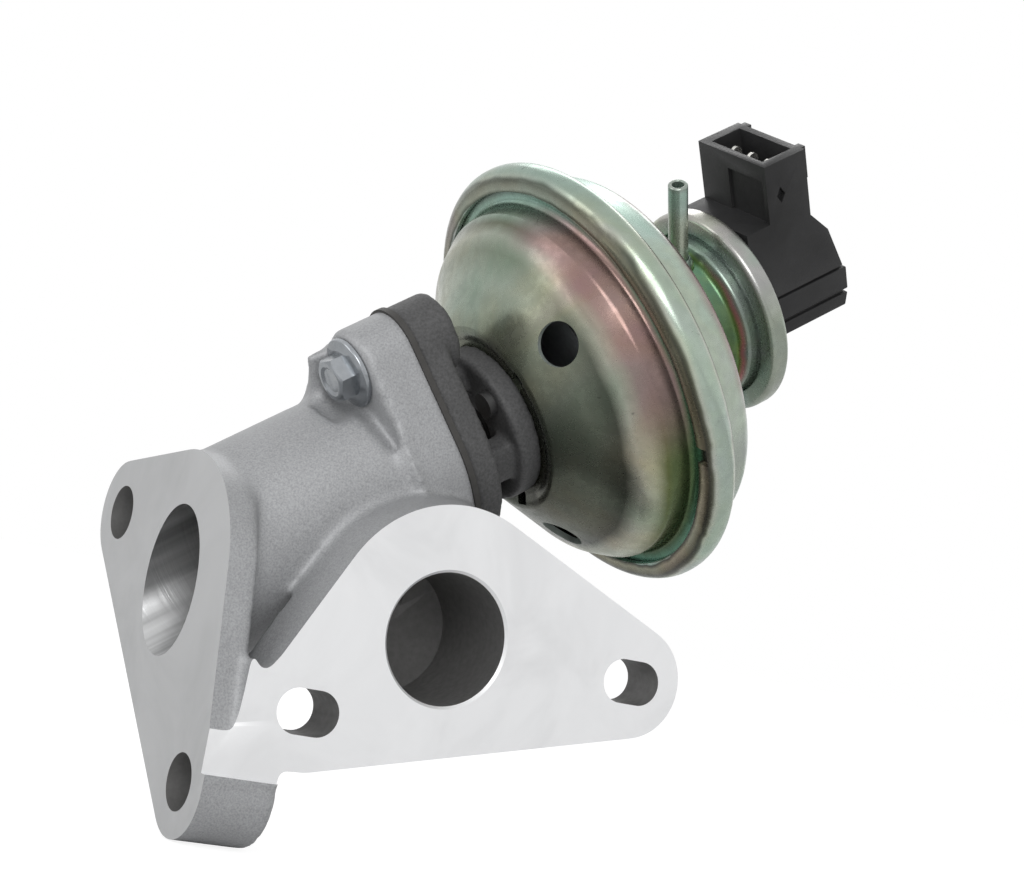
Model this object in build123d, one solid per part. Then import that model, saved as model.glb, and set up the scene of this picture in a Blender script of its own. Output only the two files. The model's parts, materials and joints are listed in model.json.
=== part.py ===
from build123d import *
import os
from math import acos, atan2, cos, degrees, hypot, radians, sin

# Vacuum operated exhaust gas recirculation valve, in millimetres.
# Origin: centre of the front port on its machined face. X to the right, Y into the housing, Z up.
# Stem frame: its z runs along the valve stem towards the actuator, its x points up and its y to the front.

# Overlap of joined solids, and reach of cuts past a face
OVER = 1.0

# Stem axis in the main frame
STEM_TILT = 35.0
STEM_X = -14.3
STEM_Y = 29.5
STEM_Z = 21.7

# Front flange and its port
PORT_R = 12.3
PORT_DEPTH = 24.5
PORT_WALL = 4.0
PORT_FLOOR = 3.5
FRONT_T = 11.0
FRONT_PAD_R = 24.7
FRONT_LOBE_R = 10.7
FRONT_DRAFT = 1.3
BOLT_SPACING = 68.0
FRONT_ALONG = 28.3
FRONT_ACROSS = 11.0
FRONT_ANGLE = 13.0
SLOT_W = 8.4
SLOT_L = 12.4

# Left flange and its port
LEFT_X = -43.3
LEFT_T = 6.3
LEFT_PAD_R = 24.5
LEFT_LOBE_R = 10.2
LEFT_ALONG = 29.4
LEFT_ACROSS = 11.8
LEFT_ANGLE = -41.8
LEFT_HOLE_R = 5.25
LEFT_BOSS_T = 14.8
LEFT_BORE_R = 11.65

# Housing tube and chamber
TUBE_R = 19.1
CHAMBER_R = 15.5
CHAMBER_A = -10.0
SEAT_POCKET_R = 13.5
SEAT_T = 6.0
SEAT_BORE_R = 9.6
SEAT_FACE_R = 11.0
PASSAGE_R = 9.5
PASSAGE_WALL = 4.0
PASSAGE_Y = 13.0
POCKET_FLOOR_Z = -9.0
POCKET_R = 1.8
WEB_T = 2.8
WEB_DEPTH = 14.0
CAST_EDGE_R = 1.0
MILL_END_Z = -30.3
JOINT_FILLET = 2.6

# Joint between housing and yoke
JOINT_A0 = 9.8
JOINT_T = 9.7
JOINT_HUB_R = 20.0
JOINT_LOBE_R = 8.0
JOINT_BOLT_R = 24.0
JOINT_ANGLE = 20.5
JOINT_EDGE_R = 0.8
GUSSET_A0 = 5.5
GASKET_T = 1.2
GASKET_OVERHANG = 0.5
GASKET_OPENING_R = 16.0

# Flange bolts, M6
BOLT_R = 3.0
BOLT_CLEARANCE = 0.3
BOLT_AF = 8.0
BOLT_HEAD_H = 4.8
BOLT_COLLAR_R = 6.9
BOLT_ACCESS = 3.0
BOLT_COLLAR_T = 1.6
BOLT_REACH = 7.0
BOLT_HOLE_SPARE = 0.5

# Yoke
YOKE_T = 5.8
YOKE_BOSS_H = 9.1
YOKE_EDGE_R = 0.8
YOKE_SPIGOT_H = 3.5
PAD_R = 15.6
PAD_T = 5.1
WINDOW_H = 7.5
POST_OUTER_R = 13.5
POST_INNER_R = 9.0
POST_WIDTH = 8.5
POST_ANGLE = 121.0
POSTS = 3
HUB_BORE_R = 6.0
PAD_BORE_R = 5.0

# Stem train
STEM_R = 3.0
RUNNING = 0.05
GAP = 0.3
LIFT = 6.0
HEAD_R = 11.3
HEAD_T = 3.0
HEAD_HUB = 1.0
BUSH_FREE = 3.6
BUSH_PROUD = 2.0
SHIELD_R = 9.0
SHIELD_T = 1.0
SHIELD_H = 6.0
SHIELD_BEND = 1.5
SEAL_T = 4.0
SEAL_DEPTH = 0.5
STEM_TAIL = 2.0
STEM_STEP = 0.6
STEM_PROUD = 1.0
HEAD_FLAT = 1.0

# Actuator shells
SHEET = 1.2
RIM_R = 44.8
RIM_LIP_W = 4.5
RIM_FRONT_A = 57.4
RIM_H = 7.2
RIM_ROLL = 3.3
RIM_CROWN_R = 0.7
WALL_IN = 4.2
SHOULDER_IN = 7.2
SHOULDER_BEND = 4.5
REAR_A = 73.6
NECK_R = 15.0
NECK_ROOT_BEND = 2.5
NECK_BEND = 1.0
NECK_H = 15.4
NECK_CUP_R = 17.2
NECK_STEP_H = 1.4
NECK_CUP_H = 3.4
CREST_W = 3.3
CREST_RISE = 0.9
CREST_BENDS = (1.2, 2.0)
CONE_IN = 10.6
CONE_A = 49.2
CONE_BEND = 5.0
SIDE_IN = 7.6
SIDE_DRAFT = 0.4
SIDE_H = 5.0
SIDE_BENDS = (2.0, 1.4)
SHELL_LAND = 1.0
SLOT_WIDTH = 3.0
SLOT_LENGTH = 4.0
VENT_R = 4.4
VENT_IN = 17.3
VENTS = 3
VENT_ANGLE = 61.0
RIVET_AT_R = 11.5
RIVET_R = 1.6
RIVET_HEAD_R = 3.2
RIVET_TAIL_R = 2.6
RIVET_ANGLE = 61.0
NOTCH_W = 4.0
NOTCH_ANGLE = 111.0

# Diaphragm, plates and springs
MEMBRANE_T = 1.2
PLATE_IN = 17.8
PLATE_T = 1.2
DISC_A = 49.2
CUP_H = 5.0
CUP_STEP = 1.0
CUP_BEND = 2.0
FOLD_BEND = 1.5
BEAD_W = 4.4
BEAD_FREE = 0.2
BEAD_ROUND = 0.48
FOLD_IN = 3.0
FOLD_OUT = 3.0
FOLD_FREE = 1.5
SPRING_R = 17.0
SPRING_WIRE = 2.2
SPRING_TURNS = 4.5

# Vacuum nipple
NIPPLE_R = 2.0
NIPPLE_BORE_R = 1.2
NIPPLE_DROP = 6.6
NIPPLE_ANGLE = 29.3
NIPPLE_IN = 10.3
NIPPLE_BRAZE = 0.6

# Sensor and connector
RING_R = 21.8
RING_H = 4.4
RING_T = 1.0
RING_LIP = 2.2
BASE_DISC_R = 20.4
BASE_DISC_T = 1.2
SENSOR_ANGLE = 20.0
SENSOR_HALF_W = 10.3
SENSOR_TOP = 19.0
SENSOR_BOTTOM = -7.0
SENSOR_SPLIT = 2.4
SENSOR_LENGTH = 24.0
SENSOR_SHOULDER_DROP = 2.0
SENSOR_SLOPE_DROP = 7.0
SENSOR_SLOPE_END = 3.0
PLUG_START = 6.1
PLUG_L = 10.7
PLUG_TOP = 31.8
PLUG_CAVITY_DEPTH = 12.0
PLUG_WALL = 1.6
PLUG_END_WALL = 2.4
PIN_PITCH = 5.0
PIN_W = 2.4
PIN_T = 0.8
PIN_PROUD = 10.2
KEY_W = 2.0
KEY_H = 7.0
KEY_T = 1.0
LATCH_W = 2.2
LATCH_H = 3.6
LATCH_R = 24.4
PANEL_DROP = 3.5
PANEL_DEPTH = 0.7
PANEL_SIDE = 1.5
PANEL_EDGE = 1.3
SENSOR_FOOT_R = 19.0
SENSOR_FOOT_T = 2.0
SENSOR_WALL = 2.3
SENSOR_CAVITY_TOP = 10.0
SENSOR_CAVITY_L = 18.8
RIB_PROUD = 1.0
RIB_DROP = 1.0
RIB_GROOVE = 0.8
RIB_GROOVE_AT = -3.9
BOARD_T = 1.0
WIPER_H = 3.0
WIPER_A = 4.0
WIPER_START = 1.0
PLUNGER_PROUD = 1.0
PLUNGER_R = 2.0
PLUNGER_FOOT_R = 3.5
PLUNGER_FOOT_T = 2.0
NOSE_R = 5.0
NOSE_LENGTH = 16.0
SPIGOT_LENGTH = 3.8
O_RING_GROOVE = 1.6
O_RING_SECTION = 1.6
O_RING_LAND = 0.5
SENSOR_SPRING_R = 3.0
SENSOR_SPRING_WIRE = 0.7
SENSOR_SPRING_TURNS = 5.0

STEM = Plane(
    origin=(STEM_X, STEM_Y, STEM_Z),
    x_dir=(-sin(radians(STEM_TILT)), 0, cos(radians(STEM_TILT))),
    z_dir=(cos(radians(STEM_TILT)), 0, sin(radians(STEM_TILT))),
)
FRONT = Plane(origin=(0, 0, 0), x_dir=(1, 0, 0), z_dir=(0, -1, 0))
LEFT = Plane(origin=(LEFT_X, 0, 0), x_dir=(0, -1, 0), z_dir=(-1, 0, 0))

# Stations along the stem, worked out from the stack
JOINT_A1 = JOINT_A0 + JOINT_T
YOKE_A0 = JOINT_A1 + GASKET_T
YOKE_A1 = YOKE_A0 + YOKE_T
PAD_A0 = YOKE_A1 + WINDOW_H
PAD_A1 = PAD_A0 + PAD_T
SEAT_A = CHAMBER_A - SEAT_T
NECK_STEP_A = REAR_A + NECK_H
RING_A = NECK_STEP_A + NECK_STEP_H + NECK_CUP_H - RING_T
NIPPLE_A = RING_A - NIPPLE_DROP
FLANGE_A = RIM_FRONT_A + SHEET
BEAD_A = FLANGE_A + SHEET
RIM_INNER_A = RIM_FRONT_A + RIM_H - SHEET
SPRING_TOP_A = REAR_A - SHEET
CUP_A = DISC_A + PLATE_T + MEMBRANE_T
DISC_BASE_A = RING_A + RING_T + SHEET
SENSOR_A = DISC_BASE_A + BASE_DISC_T + SENSOR_FOOT_T
SENSOR_END_A = SENSOR_A + SENSOR_LENGTH
CAVITY_END_A = SENSOR_A + SENSOR_CAVITY_L
CONE_FOOT_A = CHAMBER_A - (SEAT_FACE_R - SEAT_BORE_R)
STEM_LOW_A = CONE_FOOT_A - STEM_TAIL
HEAD_LOW_A = CONE_FOOT_A + 2 * RUNNING
HEAD_RIM_A = HEAD_LOW_A + HEAD_R - SEAT_BORE_R
HEAD_TOP_A = HEAD_RIM_A + HEAD_T + HEAD_HUB
BUSH_LOW = HEAD_TOP_A + LIFT + BUSH_FREE
TRAIN_TOP_A = CUP_A + PLATE_T + STEM_R + STEM_PROUD
NECKED_R = STEM_R - STEM_STEP
SPOTFACE_R = BOLT_COLLAR_R + 2 * BOLT_CLEARANCE
LIP_R = RIM_R - RIM_LIP_W
WALL_R = RIM_R - WALL_IN
SHOULDER_R = RIM_R - SHOULDER_IN
CREST_R = PAD_R + CREST_W
CONE_R = RIM_R - CONE_IN
SIDE_R = RIM_R - SIDE_IN
VENT_AT_R = RIM_R - VENT_IN
PLATE_R = RIM_R - PLATE_IN
NIPPLE_TIP_R = RIM_R - NIPPLE_IN


def polar(radius, angle):
    return (radius * cos(radians(angle)), radius * sin(radians(angle)))


def hull_face(circles):
    """Convex outline round circles given anticlockwise as (x, y, radius): tangent lines and arcs."""
    count = len(circles)
    normals = []
    for i in range(count):
        x1, y1, r1 = circles[i]
        x2, y2, r2 = circles[(i + 1) % count]
        turn = acos((r1 - r2) / hypot(x2 - x1, y2 - y1))
        normals.append(atan2(y2 - y1, x2 - x1) - turn)
    edges = []
    for i in range(count):
        x, y, r = circles[i]
        start = normals[i - 1]
        sweep = (normals[i] - start) % radians(360)
        arc = [(x + r * cos(start + k * sweep), y + r * sin(start + k * sweep)) for k in (0, 0.5, 1)]
        edges.append(ThreePointArc(*arc))
    for i in range(count):
        edges.append(Line(edges[i] @ 1, edges[(i + 1) % count] @ 0))
    return make_face(edges)


def sheet_face(points, radii, thickness):
    """Section of bent sheet: the given line of points and the same line moved left by the thickness."""
    moved = []
    inner = []
    for i, (x, y) in enumerate(points):
        steps = []
        if i > 0:
            steps.append((x - points[i - 1][0], y - points[i - 1][1]))
        if i < len(points) - 1:
            steps.append((points[i + 1][0] - x, points[i + 1][1] - y))
        normals = [(-dy / hypot(dx, dy), dx / hypot(dx, dy)) for dx, dy in steps]
        sx = sum(n[0] for n in normals)
        sy = sum(n[1] for n in normals)
        scale = thickness * len(normals) / (sx * sx + sy * sy)
        moved.append((x + sx * scale, y + sy * scale))
        if len(steps) == 2:
            left_turn = steps[0][0] * steps[1][1] - steps[0][1] * steps[1][0] > 0
            change = -thickness if left_turn else thickness
            inner.append(max(radii[i - 1] + change, 0.1))
    near = FilletPolyline(*points, radius=radii)
    far = FilletPolyline(*moved, radius=inner)
    return make_face([*near.edges(), *far.edges(), Line(near @ 0, far @ 0), Line(near @ 1, far @ 1)])


def ring_face(r0, r1, a0, a1):
    """Section of a plain ring between two radii and two stations."""
    return make_face(Polyline((r0, a0), (r1, a0), (r1, a1), (r0, a1), close=True))


def turned(face):
    """Revolve a section drawn as (radius, station) about the stem."""
    return STEM.location * revolve(Plane.XZ.location * face, Axis.Z)


def rod(radius, a0, a1, x=0.0, y=0.0):
    """Cylinder parallel to the stem, between two stations."""
    return STEM.location * Pos(x, y, a0) * extrude(Circle(radius), a1 - a0)


def bolt_places():
    return [polar(JOINT_BOLT_R, JOINT_ANGLE + turn) for turn in (0, 180)]


def joint_face(grow=0.0):
    """Outline shared by the housing flange, the gasket and the yoke flange."""
    first, second = [(x, y, JOINT_LOBE_R + grow) for x, y in bolt_places()]
    hub = (0, 0, JOINT_HUB_R + grow)
    return hull_face([first, hub, second, hub])


def flange_points(angle, along, across, port):
    """The two bolt places of a flange, from the place of its port, in the flange's own plane."""
    ex, ey = cos(radians(angle)), sin(radians(angle))
    first = (port[0] - along * ex + across * ey, port[1] - along * ey - across * ex)
    second = (first[0] + BOLT_SPACING * ex, first[1] + BOLT_SPACING * ey)
    return first, second


def along_y(face, y0, y1):
    """Extrude a face drawn on the front face plane, between two depths into the housing."""
    return FRONT.location * Pos(0, 0, -y1) * extrude(face, y1 - y0)


def along_x(face, depth):
    """Extrude a face drawn on the left face plane into the housing."""
    return LEFT.location * Pos(0, 0, -depth) * extrude(face, depth)


def bar(start, end, radius):
    """Cylinder between two points."""
    axis = Vector(*end) - Vector(*start)
    return Plane(origin=start, z_dir=axis).location * extrude(Circle(radius), axis.length)


FRONT_BOLTS = flange_points(FRONT_ANGLE, FRONT_ALONG, FRONT_ACROSS, (0, 0))
LEFT_CROSSING = (LEFT_X - STEM_X) / cos(radians(STEM_TILT))
LEFT_PORT = (-STEM_Y, STEM_Z + LEFT_CROSSING * sin(radians(STEM_TILT)))
LEFT_BOLTS = flange_points(LEFT_ANGLE, LEFT_ALONG, LEFT_ACROSS, LEFT_PORT)


def make_front_flange():
    def outline(grow):
        lobes = [(x, z, FRONT_LOBE_R + grow) for x, z in FRONT_BOLTS]
        return hull_face([(0, 0, FRONT_PAD_R + grow), *lobes])

    front = FRONT.location * outline(0)
    back = FRONT.location * Pos(0, 0, -FRONT_T) * outline(FRONT_DRAFT)
    flange = loft([front, back], ruled=True)
    return fillet(flange.faces().sort_by(Axis.Y)[-1].edges(), CAST_EDGE_R)


def make_left_flange():
    lobes = [(u, v, LEFT_LOBE_R) for u, v in LEFT_BOLTS]
    solids = [along_x(hull_face([(*LEFT_PORT, LEFT_PAD_R), *lobes]), LEFT_T)]
    solids += [along_x(Pos(u, v) * Circle(r), LEFT_BOSS_T) for u, v, r in lobes]
    flange, *bosses = [fillet(s.faces().sort_by(Axis.X)[-1].edges(), CAST_EDGE_R) for s in solids]
    return flange + bosses


def make_pocket_floor():
    """Solid corner between the flanges, grooved at the top, with a triangular web behind it."""
    x0, y0 = LEFT_X + LEFT_T - OVER, FRONT_T - OVER
    x1, z1 = FRONT_BOLTS[0]
    low = z1 - FRONT_LOBE_R
    corner = Pos((x0 + x1) / 2, FRONT_T / 2, (low + POCKET_FLOOR_Z) / 2) * Box(
        x1 - x0, FRONT_T, POCKET_FLOOR_Z - low
    )
    groove = Pos(LEFT_X + LEFT_T + POCKET_R, 0, POCKET_FLOOR_Z) * Rot(90, 0, 0)
    corner -= groove * Cylinder(POCKET_R, 4 * FRONT_T)
    web = Polyline((x0, y0), (x0 + WEB_DEPTH, y0), (x0, y0 + WEB_DEPTH), close=True)
    web_z = POCKET_FLOOR_Z - POCKET_R - WEB_T
    return corner + Pos(0, 0, web_z) * extrude(make_face(web), WEB_T)


def make_flare():
    """Rounding between the tube and the underside of the joint flange."""
    low = JOINT_A0 - JOINT_FILLET
    tip = TUBE_R + JOINT_FILLET
    return turned(ring_face(TUBE_R - OVER, tip, low, JOINT_A0) - Pos(tip, low) * Circle(JOINT_FILLET))


def passage_ends():
    """Middle of the front port and the nearest point of the stem axis."""
    nearest = -(STEM_X * cos(radians(STEM_TILT)) + STEM_Z * sin(radians(STEM_TILT)))
    return (0, PASSAGE_Y, 0), tuple(STEM.from_local_coords(Vector(0, 0, nearest)))


def joint_block(grow, a0, a1):
    return STEM.location * Pos(0, 0, a0) * extrude(joint_face(grow), a1 - a0)


def make_joint_flange():
    """Flange under the gasket, its lower edge rounded, thicker on one side of each bolt."""
    block = extrude(joint_face(), JOINT_T)
    block = fillet(block.faces().sort_by(Axis.Z)[0].edges(), JOINT_EDGE_R)
    size = 2 * JOINT_BOLT_R
    for turn in (0, 180):
        side = Pos(0, -SPOTFACE_R) * Rectangle(size, size, align=(Align.MIN, Align.MAX))
        gusset = joint_face() & (Rot(0, 0, JOINT_ANGLE + turn) * side)
        block += Pos(0, 0, GUSSET_A0 - JOINT_A0) * extrude(gusset, JOINT_A0 - GUSSET_A0 + OVER)
    return STEM.location * Pos(0, 0, JOINT_A0) * block


def make_casting():
    """Housing as cast: two flanges, the tube between them, and the port's boss and passage."""
    body = make_front_flange() + make_left_flange() + make_pocket_floor()
    body += rod(TUBE_R, 2 * LEFT_CROSSING, JOINT_A0 + OVER) + make_flare()
    body += make_joint_flange()
    body += along_y(Circle(PORT_R + PORT_WALL), FRONT_T / 2, PORT_DEPTH + PORT_FLOOR)
    return body + bar(*passage_ends(), PASSAGE_R + PASSAGE_WALL)


def make_housing():
    """Casting with its faces milled, its ports bored and its holes drilled."""
    reach = 4 * BOLT_SPACING
    body = make_casting()
    body -= Pos(LEFT_X - reach / 2, 0, 0) * Box(reach, reach, reach)
    body -= Pos(0, -reach / 2, MILL_END_Z + reach / 2) * Box(reach, reach, reach)
    body -= joint_block(GASKET_OVERHANG + GAP, JOINT_A1, YOKE_A1)
    body -= along_y(Circle(PORT_R), -OVER, PORT_DEPTH)
    body -= bar(*passage_ends(), PASSAGE_R)
    body -= rod(CHAMBER_R, CHAMBER_A, JOINT_A1 + OVER)
    body -= rod(SEAT_POCKET_R, SEAT_A, CHAMBER_A + OVER)
    body -= rod(LEFT_BORE_R, 3 * LEFT_CROSSING, SEAT_A + OVER)
    for x, z in FRONT_BOLTS:
        body -= along_y(Pos(x, z) * SlotOverall(SLOT_L, SLOT_W), -OVER, FRONT_T + OVER)
    for u, v in LEFT_BOLTS:
        body -= along_x(Pos(u, v) * Circle(LEFT_HOLE_R), LEFT_BOSS_T + OVER)
    for x, y in bolt_places():
        body -= rod(BOLT_R + BOLT_CLEARANCE, JOINT_A0 - OVER, JOINT_A1 + OVER, x, y)
        body -= rod(SPOTFACE_R, JOINT_A0 - BOLT_HEAD_H - BOLT_ACCESS, JOINT_A0, x, y)
    return body


def make_bolts():
    bolts = []
    for x, y in bolt_places():
        collar = rod(BOLT_COLLAR_R, JOINT_A0 - BOLT_COLLAR_T, JOINT_A0, x, y)
        head = Pos(x, y, JOINT_A0 - BOLT_HEAD_H) * extrude(
            RegularPolygon(BOLT_AF / 2, 6, major_radius=False), BOLT_HEAD_H - BOLT_COLLAR_T
        )
        shank = rod(BOLT_R, JOINT_A0, YOKE_A0 + BOLT_REACH, x, y)
        bolts.append(collar + STEM.location * head + shank)
    return Compound(bolts)


def make_gasket():
    gasket = extrude(joint_face(GASKET_OVERHANG) - Circle(GASKET_OPENING_R), GASKET_T)
    for x, y in bolt_places():
        gasket -= Pos(x, y) * extrude(Circle(BOLT_R + BOLT_CLEARANCE), GASKET_T)
    return STEM.location * Pos(0, 0, JOINT_A1) * gasket


def make_yoke():
    spigot = Pos(0, 0, -GASKET_T - YOKE_SPIGOT_H) * extrude(
        Circle(CHAMBER_R - GAP), GASKET_T + YOKE_SPIGOT_H
    )
    plate = extrude(joint_face(), YOKE_T)
    solids = [plate, *[Pos(x, y) * extrude(Circle(JOINT_LOBE_R), YOKE_BOSS_H) for x, y in bolt_places()]]
    body = spigot
    for solid in solids:
        body += fillet(solid.faces().sort_by(Axis.Z)[-1].edges(), YOKE_EDGE_R)
    pad = Pos(0, 0, YOKE_T + WINDOW_H) * extrude(Circle(PAD_R), PAD_T)
    body += fillet(pad.faces().sort_by(Axis.Z)[0].edges(), YOKE_EDGE_R)
    ring = Circle(POST_OUTER_R) - Circle(POST_INNER_R)
    for i in range(POSTS):
        cut = Rot(0, 0, POST_ANGLE + 360 * i / POSTS) * Pos(PAD_R, 0) * Rectangle(PAD_R, POST_WIDTH)
        body += Pos(0, 0, YOKE_T) * extrude(ring & cut, WINDOW_H)
    body = STEM.location * Pos(0, 0, YOKE_A0) * body
    body -= rod(HUB_BORE_R, JOINT_A0, YOKE_A1 + OVER)
    body -= rod(PAD_BORE_R, YOKE_A1 + OVER, PAD_A1 + OVER)
    for x, y in bolt_places():
        body -= rod(BOLT_R, YOKE_A0 - OVER, YOKE_A0 + BOLT_REACH + BOLT_HOLE_SPARE, x, y)
    for x, y in rivet_places():
        body -= rod(RIVET_R, PAD_A0 - OVER, PAD_A1 + OVER, x, y)
    return body


def rivet_places():
    return [polar(RIVET_AT_R, RIVET_ANGLE + 360 * i / POSTS) for i in range(POSTS)]


def make_rivets():
    rivets = []
    for x, y in rivet_places():
        shank = rod(RIVET_R, PAD_A0, PAD_A1 + SHEET, x, y)
        head = rod(RIVET_HEAD_R, PAD_A1 + SHEET, PAD_A1 + SHEET + RIVET_R, x, y)
        tail = rod(RIVET_TAIL_R, PAD_A0 - RIVET_R, PAD_A0, x, y)
        rivets.append(shank + head + tail)
    return Compound(rivets)


def make_seat():
    section = Polyline(
        (SEAT_BORE_R, SEAT_A),
        (SEAT_POCKET_R, SEAT_A),
        (SEAT_POCKET_R, CHAMBER_A),
        (SEAT_FACE_R, CHAMBER_A),
        (SEAT_BORE_R, CONE_FOOT_A),
        close=True,
    )
    return turned(make_face(section))


def make_valve_head():
    """Poppet disc whose cone lies just above the seat's."""
    section = Polyline(
        (STEM_R, HEAD_LOW_A - OVER),
        (SEAT_BORE_R - OVER, HEAD_LOW_A - OVER),
        (SEAT_BORE_R - 2 * RUNNING, HEAD_LOW_A - 2 * RUNNING),
        (HEAD_R, HEAD_RIM_A),
        (HEAD_R, HEAD_RIM_A + HEAD_FLAT),
        (STEM_R + 2, HEAD_TOP_A - HEAD_HUB),
        (STEM_R, HEAD_TOP_A),
        close=True,
    )
    return turned(make_face(section))


def make_stem():
    stem = rod(STEM_R, STEM_LOW_A, DISC_A)
    return stem + rod(NECKED_R, DISC_A, TRAIN_TOP_A)


def make_nut():
    return turned(ring_face(NECKED_R, 2 * NECKED_R, CUP_A + PLATE_T, CUP_A + PLATE_T + STEM_R))


def make_bush():
    return turned(ring_face(STEM_R + RUNNING, HUB_BORE_R, BUSH_LOW, YOKE_A1 + BUSH_PROUD))


def make_shield():
    top = BUSH_LOW + SHIELD_H
    section = sheet_face([(SHIELD_R, BUSH_LOW), (SHIELD_R, top), (HUB_BORE_R, top)], [SHIELD_BEND], SHIELD_T)
    return turned(section)


def make_seal():
    start = PAD_A0 + SEAL_DEPTH
    return turned(ring_face(STEM_R + RUNNING, PAD_BORE_R, start, start + SEAL_T))


def cone_station(radius):
    """Station of the lower shell's outer cone at a radius."""
    crest_a = PAD_A1 - CREST_RISE
    return crest_a + (radius - CREST_R) * (CONE_A - crest_a) / (CONE_R - CREST_R)


def make_lower_shell():
    """Front half of the vacuum can: seat, crest, cone with vents, shoulder and outward flange."""
    outline = [
        (PAD_BORE_R + GAP, PAD_A1),
        (PAD_R + SHELL_LAND, PAD_A1),
        (CREST_R, PAD_A1 - CREST_RISE),
        (CONE_R, CONE_A),
        (SIDE_R, FLANGE_A - SIDE_H),
        (SIDE_R + SIDE_DRAFT, FLANGE_A),
        (RIM_R - RIM_ROLL, FLANGE_A),
    ]
    shell = turned(sheet_face(outline, [*CREST_BENDS, CONE_BEND, *SIDE_BENDS], SHEET))
    slope = atan2(CONE_A - PAD_A1 + CREST_RISE, CONE_R - CREST_R)
    for i in range(VENTS):
        turn = Rot(0, 0, VENT_ANGLE + 360 * i / VENTS)
        place = Pos(VENT_AT_R, 0, cone_station(VENT_AT_R)) * Rot(0, -degrees(slope), 0)
        shell -= STEM.location * turn * place * Cylinder(VENT_R, 6 * SHEET)
        slot = Pos(PAD_R + SHELL_LAND, 0, PAD_A1) * Box(SLOT_LENGTH, SLOT_WIDTH, 6 * SHEET)
        shell -= STEM.location * turn * slot
    for x, y in rivet_places():
        shell -= rod(RIVET_R, PAD_A1 - OVER, PAD_A1 + 2 * SHEET, x, y)
    return shell


def make_upper_shell():
    """Rear half of the can: rim rolled over the front half, wall, end plate and neck."""
    outline = [
        (LIP_R, RIM_FRONT_A),
        (RIM_R, RIM_FRONT_A),
        (RIM_R, RIM_FRONT_A + RIM_H),
        (WALL_R, RIM_FRONT_A + RIM_H),
        (SHOULDER_R, REAR_A),
        (NECK_R, REAR_A),
        (NECK_R, NECK_STEP_A),
        (NECK_CUP_R, NECK_STEP_A + NECK_STEP_H),
        (NECK_CUP_R, RING_A + RING_T),
        (BASE_DISC_R, RING_A + RING_T),
    ]
    bends = [RIM_ROLL, RIM_ROLL, RIM_CROWN_R, SHOULDER_BEND, NECK_ROOT_BEND, NECK_BEND, NECK_BEND, SHEET]
    shell = turned(sheet_face(outline, bends, SHEET))
    notch = Rot(0, 0, NOTCH_ANGLE) * Pos(LIP_R, 0, RIM_FRONT_A) * Box(2 * SHEET, NOTCH_W, 3 * SHEET)
    shell -= STEM.location * notch
    return shell - nipple_rod(NIPPLE_R, 0, NECK_R + 2)


def nipple_rod(radius, r0, r1):
    """Cylinder on the nipple's axis, between two distances from the stem."""
    turn = Rot(0, 0, NIPPLE_ANGLE) * Pos(r0, 0, NIPPLE_A) * Rot(0, 90, 0)
    return STEM.location * turn * extrude(Circle(radius), r1 - r0)


def make_nipple():
    root = NECK_R - 2 * SHEET
    collar = nipple_rod(NIPPLE_R + NIPPLE_BRAZE, root, NECK_R + SHEET) - rod(NECK_R, REAR_A, RING_A)
    return collar + nipple_rod(NIPPLE_R, root, NIPPLE_TIP_R) - nipple_rod(NIPPLE_BORE_R, 0, 2 * RIM_R)


def make_diaphragm():
    low = DISC_A + PLATE_T
    high = (BEAD_A + RIM_INNER_A - MEMBRANE_T) / 2
    inner_wall = SIDE_R - SHEET
    fold = [
        (NECKED_R, low),
        (PLATE_R + FOLD_IN, low),
        (inner_wall - FOLD_FREE, high),
        (RIM_R - 2 * SHEET - FOLD_OUT, high),
    ]
    web = turned(sheet_face(fold, [FOLD_BEND, FOLD_BEND], MEMBRANE_T))
    bead_h = RIM_INNER_A - BEAD_A - 2 * RUNNING
    bead = Pos(RIM_R - SHEET - BEAD_FREE - BEAD_W / 2, BEAD_A + bead_h / 2)
    return web + turned(bead * RectangleRounded(BEAD_W, bead_h, BEAD_ROUND * bead_h))


def make_lower_plate():
    return turned(ring_face(NECKED_R, PLATE_R, DISC_A, DISC_A + PLATE_T))


def make_upper_plate():
    section = [(NECKED_R, CUP_A), (PLATE_R - CUP_STEP, CUP_A), (PLATE_R - CUP_STEP, CUP_A + CUP_H)]
    return turned(sheet_face(section, [CUP_BEND], PLATE_T))


def coil(mean_r, wire_r, a0, a1, turns):
    """Compression spring between two stations."""
    length = a1 - a0 - 2 * wire_r
    path = Helix(length / turns, length, mean_r)
    profile = Plane(origin=path @ 0, z_dir=path % 0) * Circle(wire_r)
    return STEM.location * Pos(0, 0, a0 + wire_r) * sweep(profile, path=path)


def make_return_spring():
    return coil(SPRING_R, SPRING_WIRE / 2, CUP_A + PLATE_T, SPRING_TOP_A, SPRING_TURNS)


def make_sensor_ring():
    section = [
        (RING_R - RING_LIP, RING_A),
        (RING_R, RING_A),
        (RING_R, RING_A + RING_H),
        (RING_R - RING_LIP, RING_A + RING_H),
    ]
    return turned(sheet_face(section, [RING_T, RING_T], RING_T))


SENSOR = STEM.location * Rot(0, 0, SENSOR_ANGLE)


def sensor_prism(points, half_width):
    """Solid across the sensor from an outline of (height from the stem axis, station)."""
    face = make_face(Polyline(*points, close=True))
    return SENSOR * extrude(Plane.XZ.location * face, half_width, both=True)


def sensor_box(heights, sides, stations):
    size = [pair[1] - pair[0] for pair in (heights, sides, stations)]
    middle = [(pair[0] + pair[1]) / 2 for pair in (heights, sides, stations)]
    return SENSOR * Pos(*middle) * Box(*size)


def sensor_cavity():
    heights = (SENSOR_BOTTOM + SENSOR_WALL, SENSOR_CAVITY_TOP)
    side = SENSOR_HALF_W - SENSOR_WALL
    return sensor_box(heights, (-side, side), (SENSOR_A, CAVITY_END_A))


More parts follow.
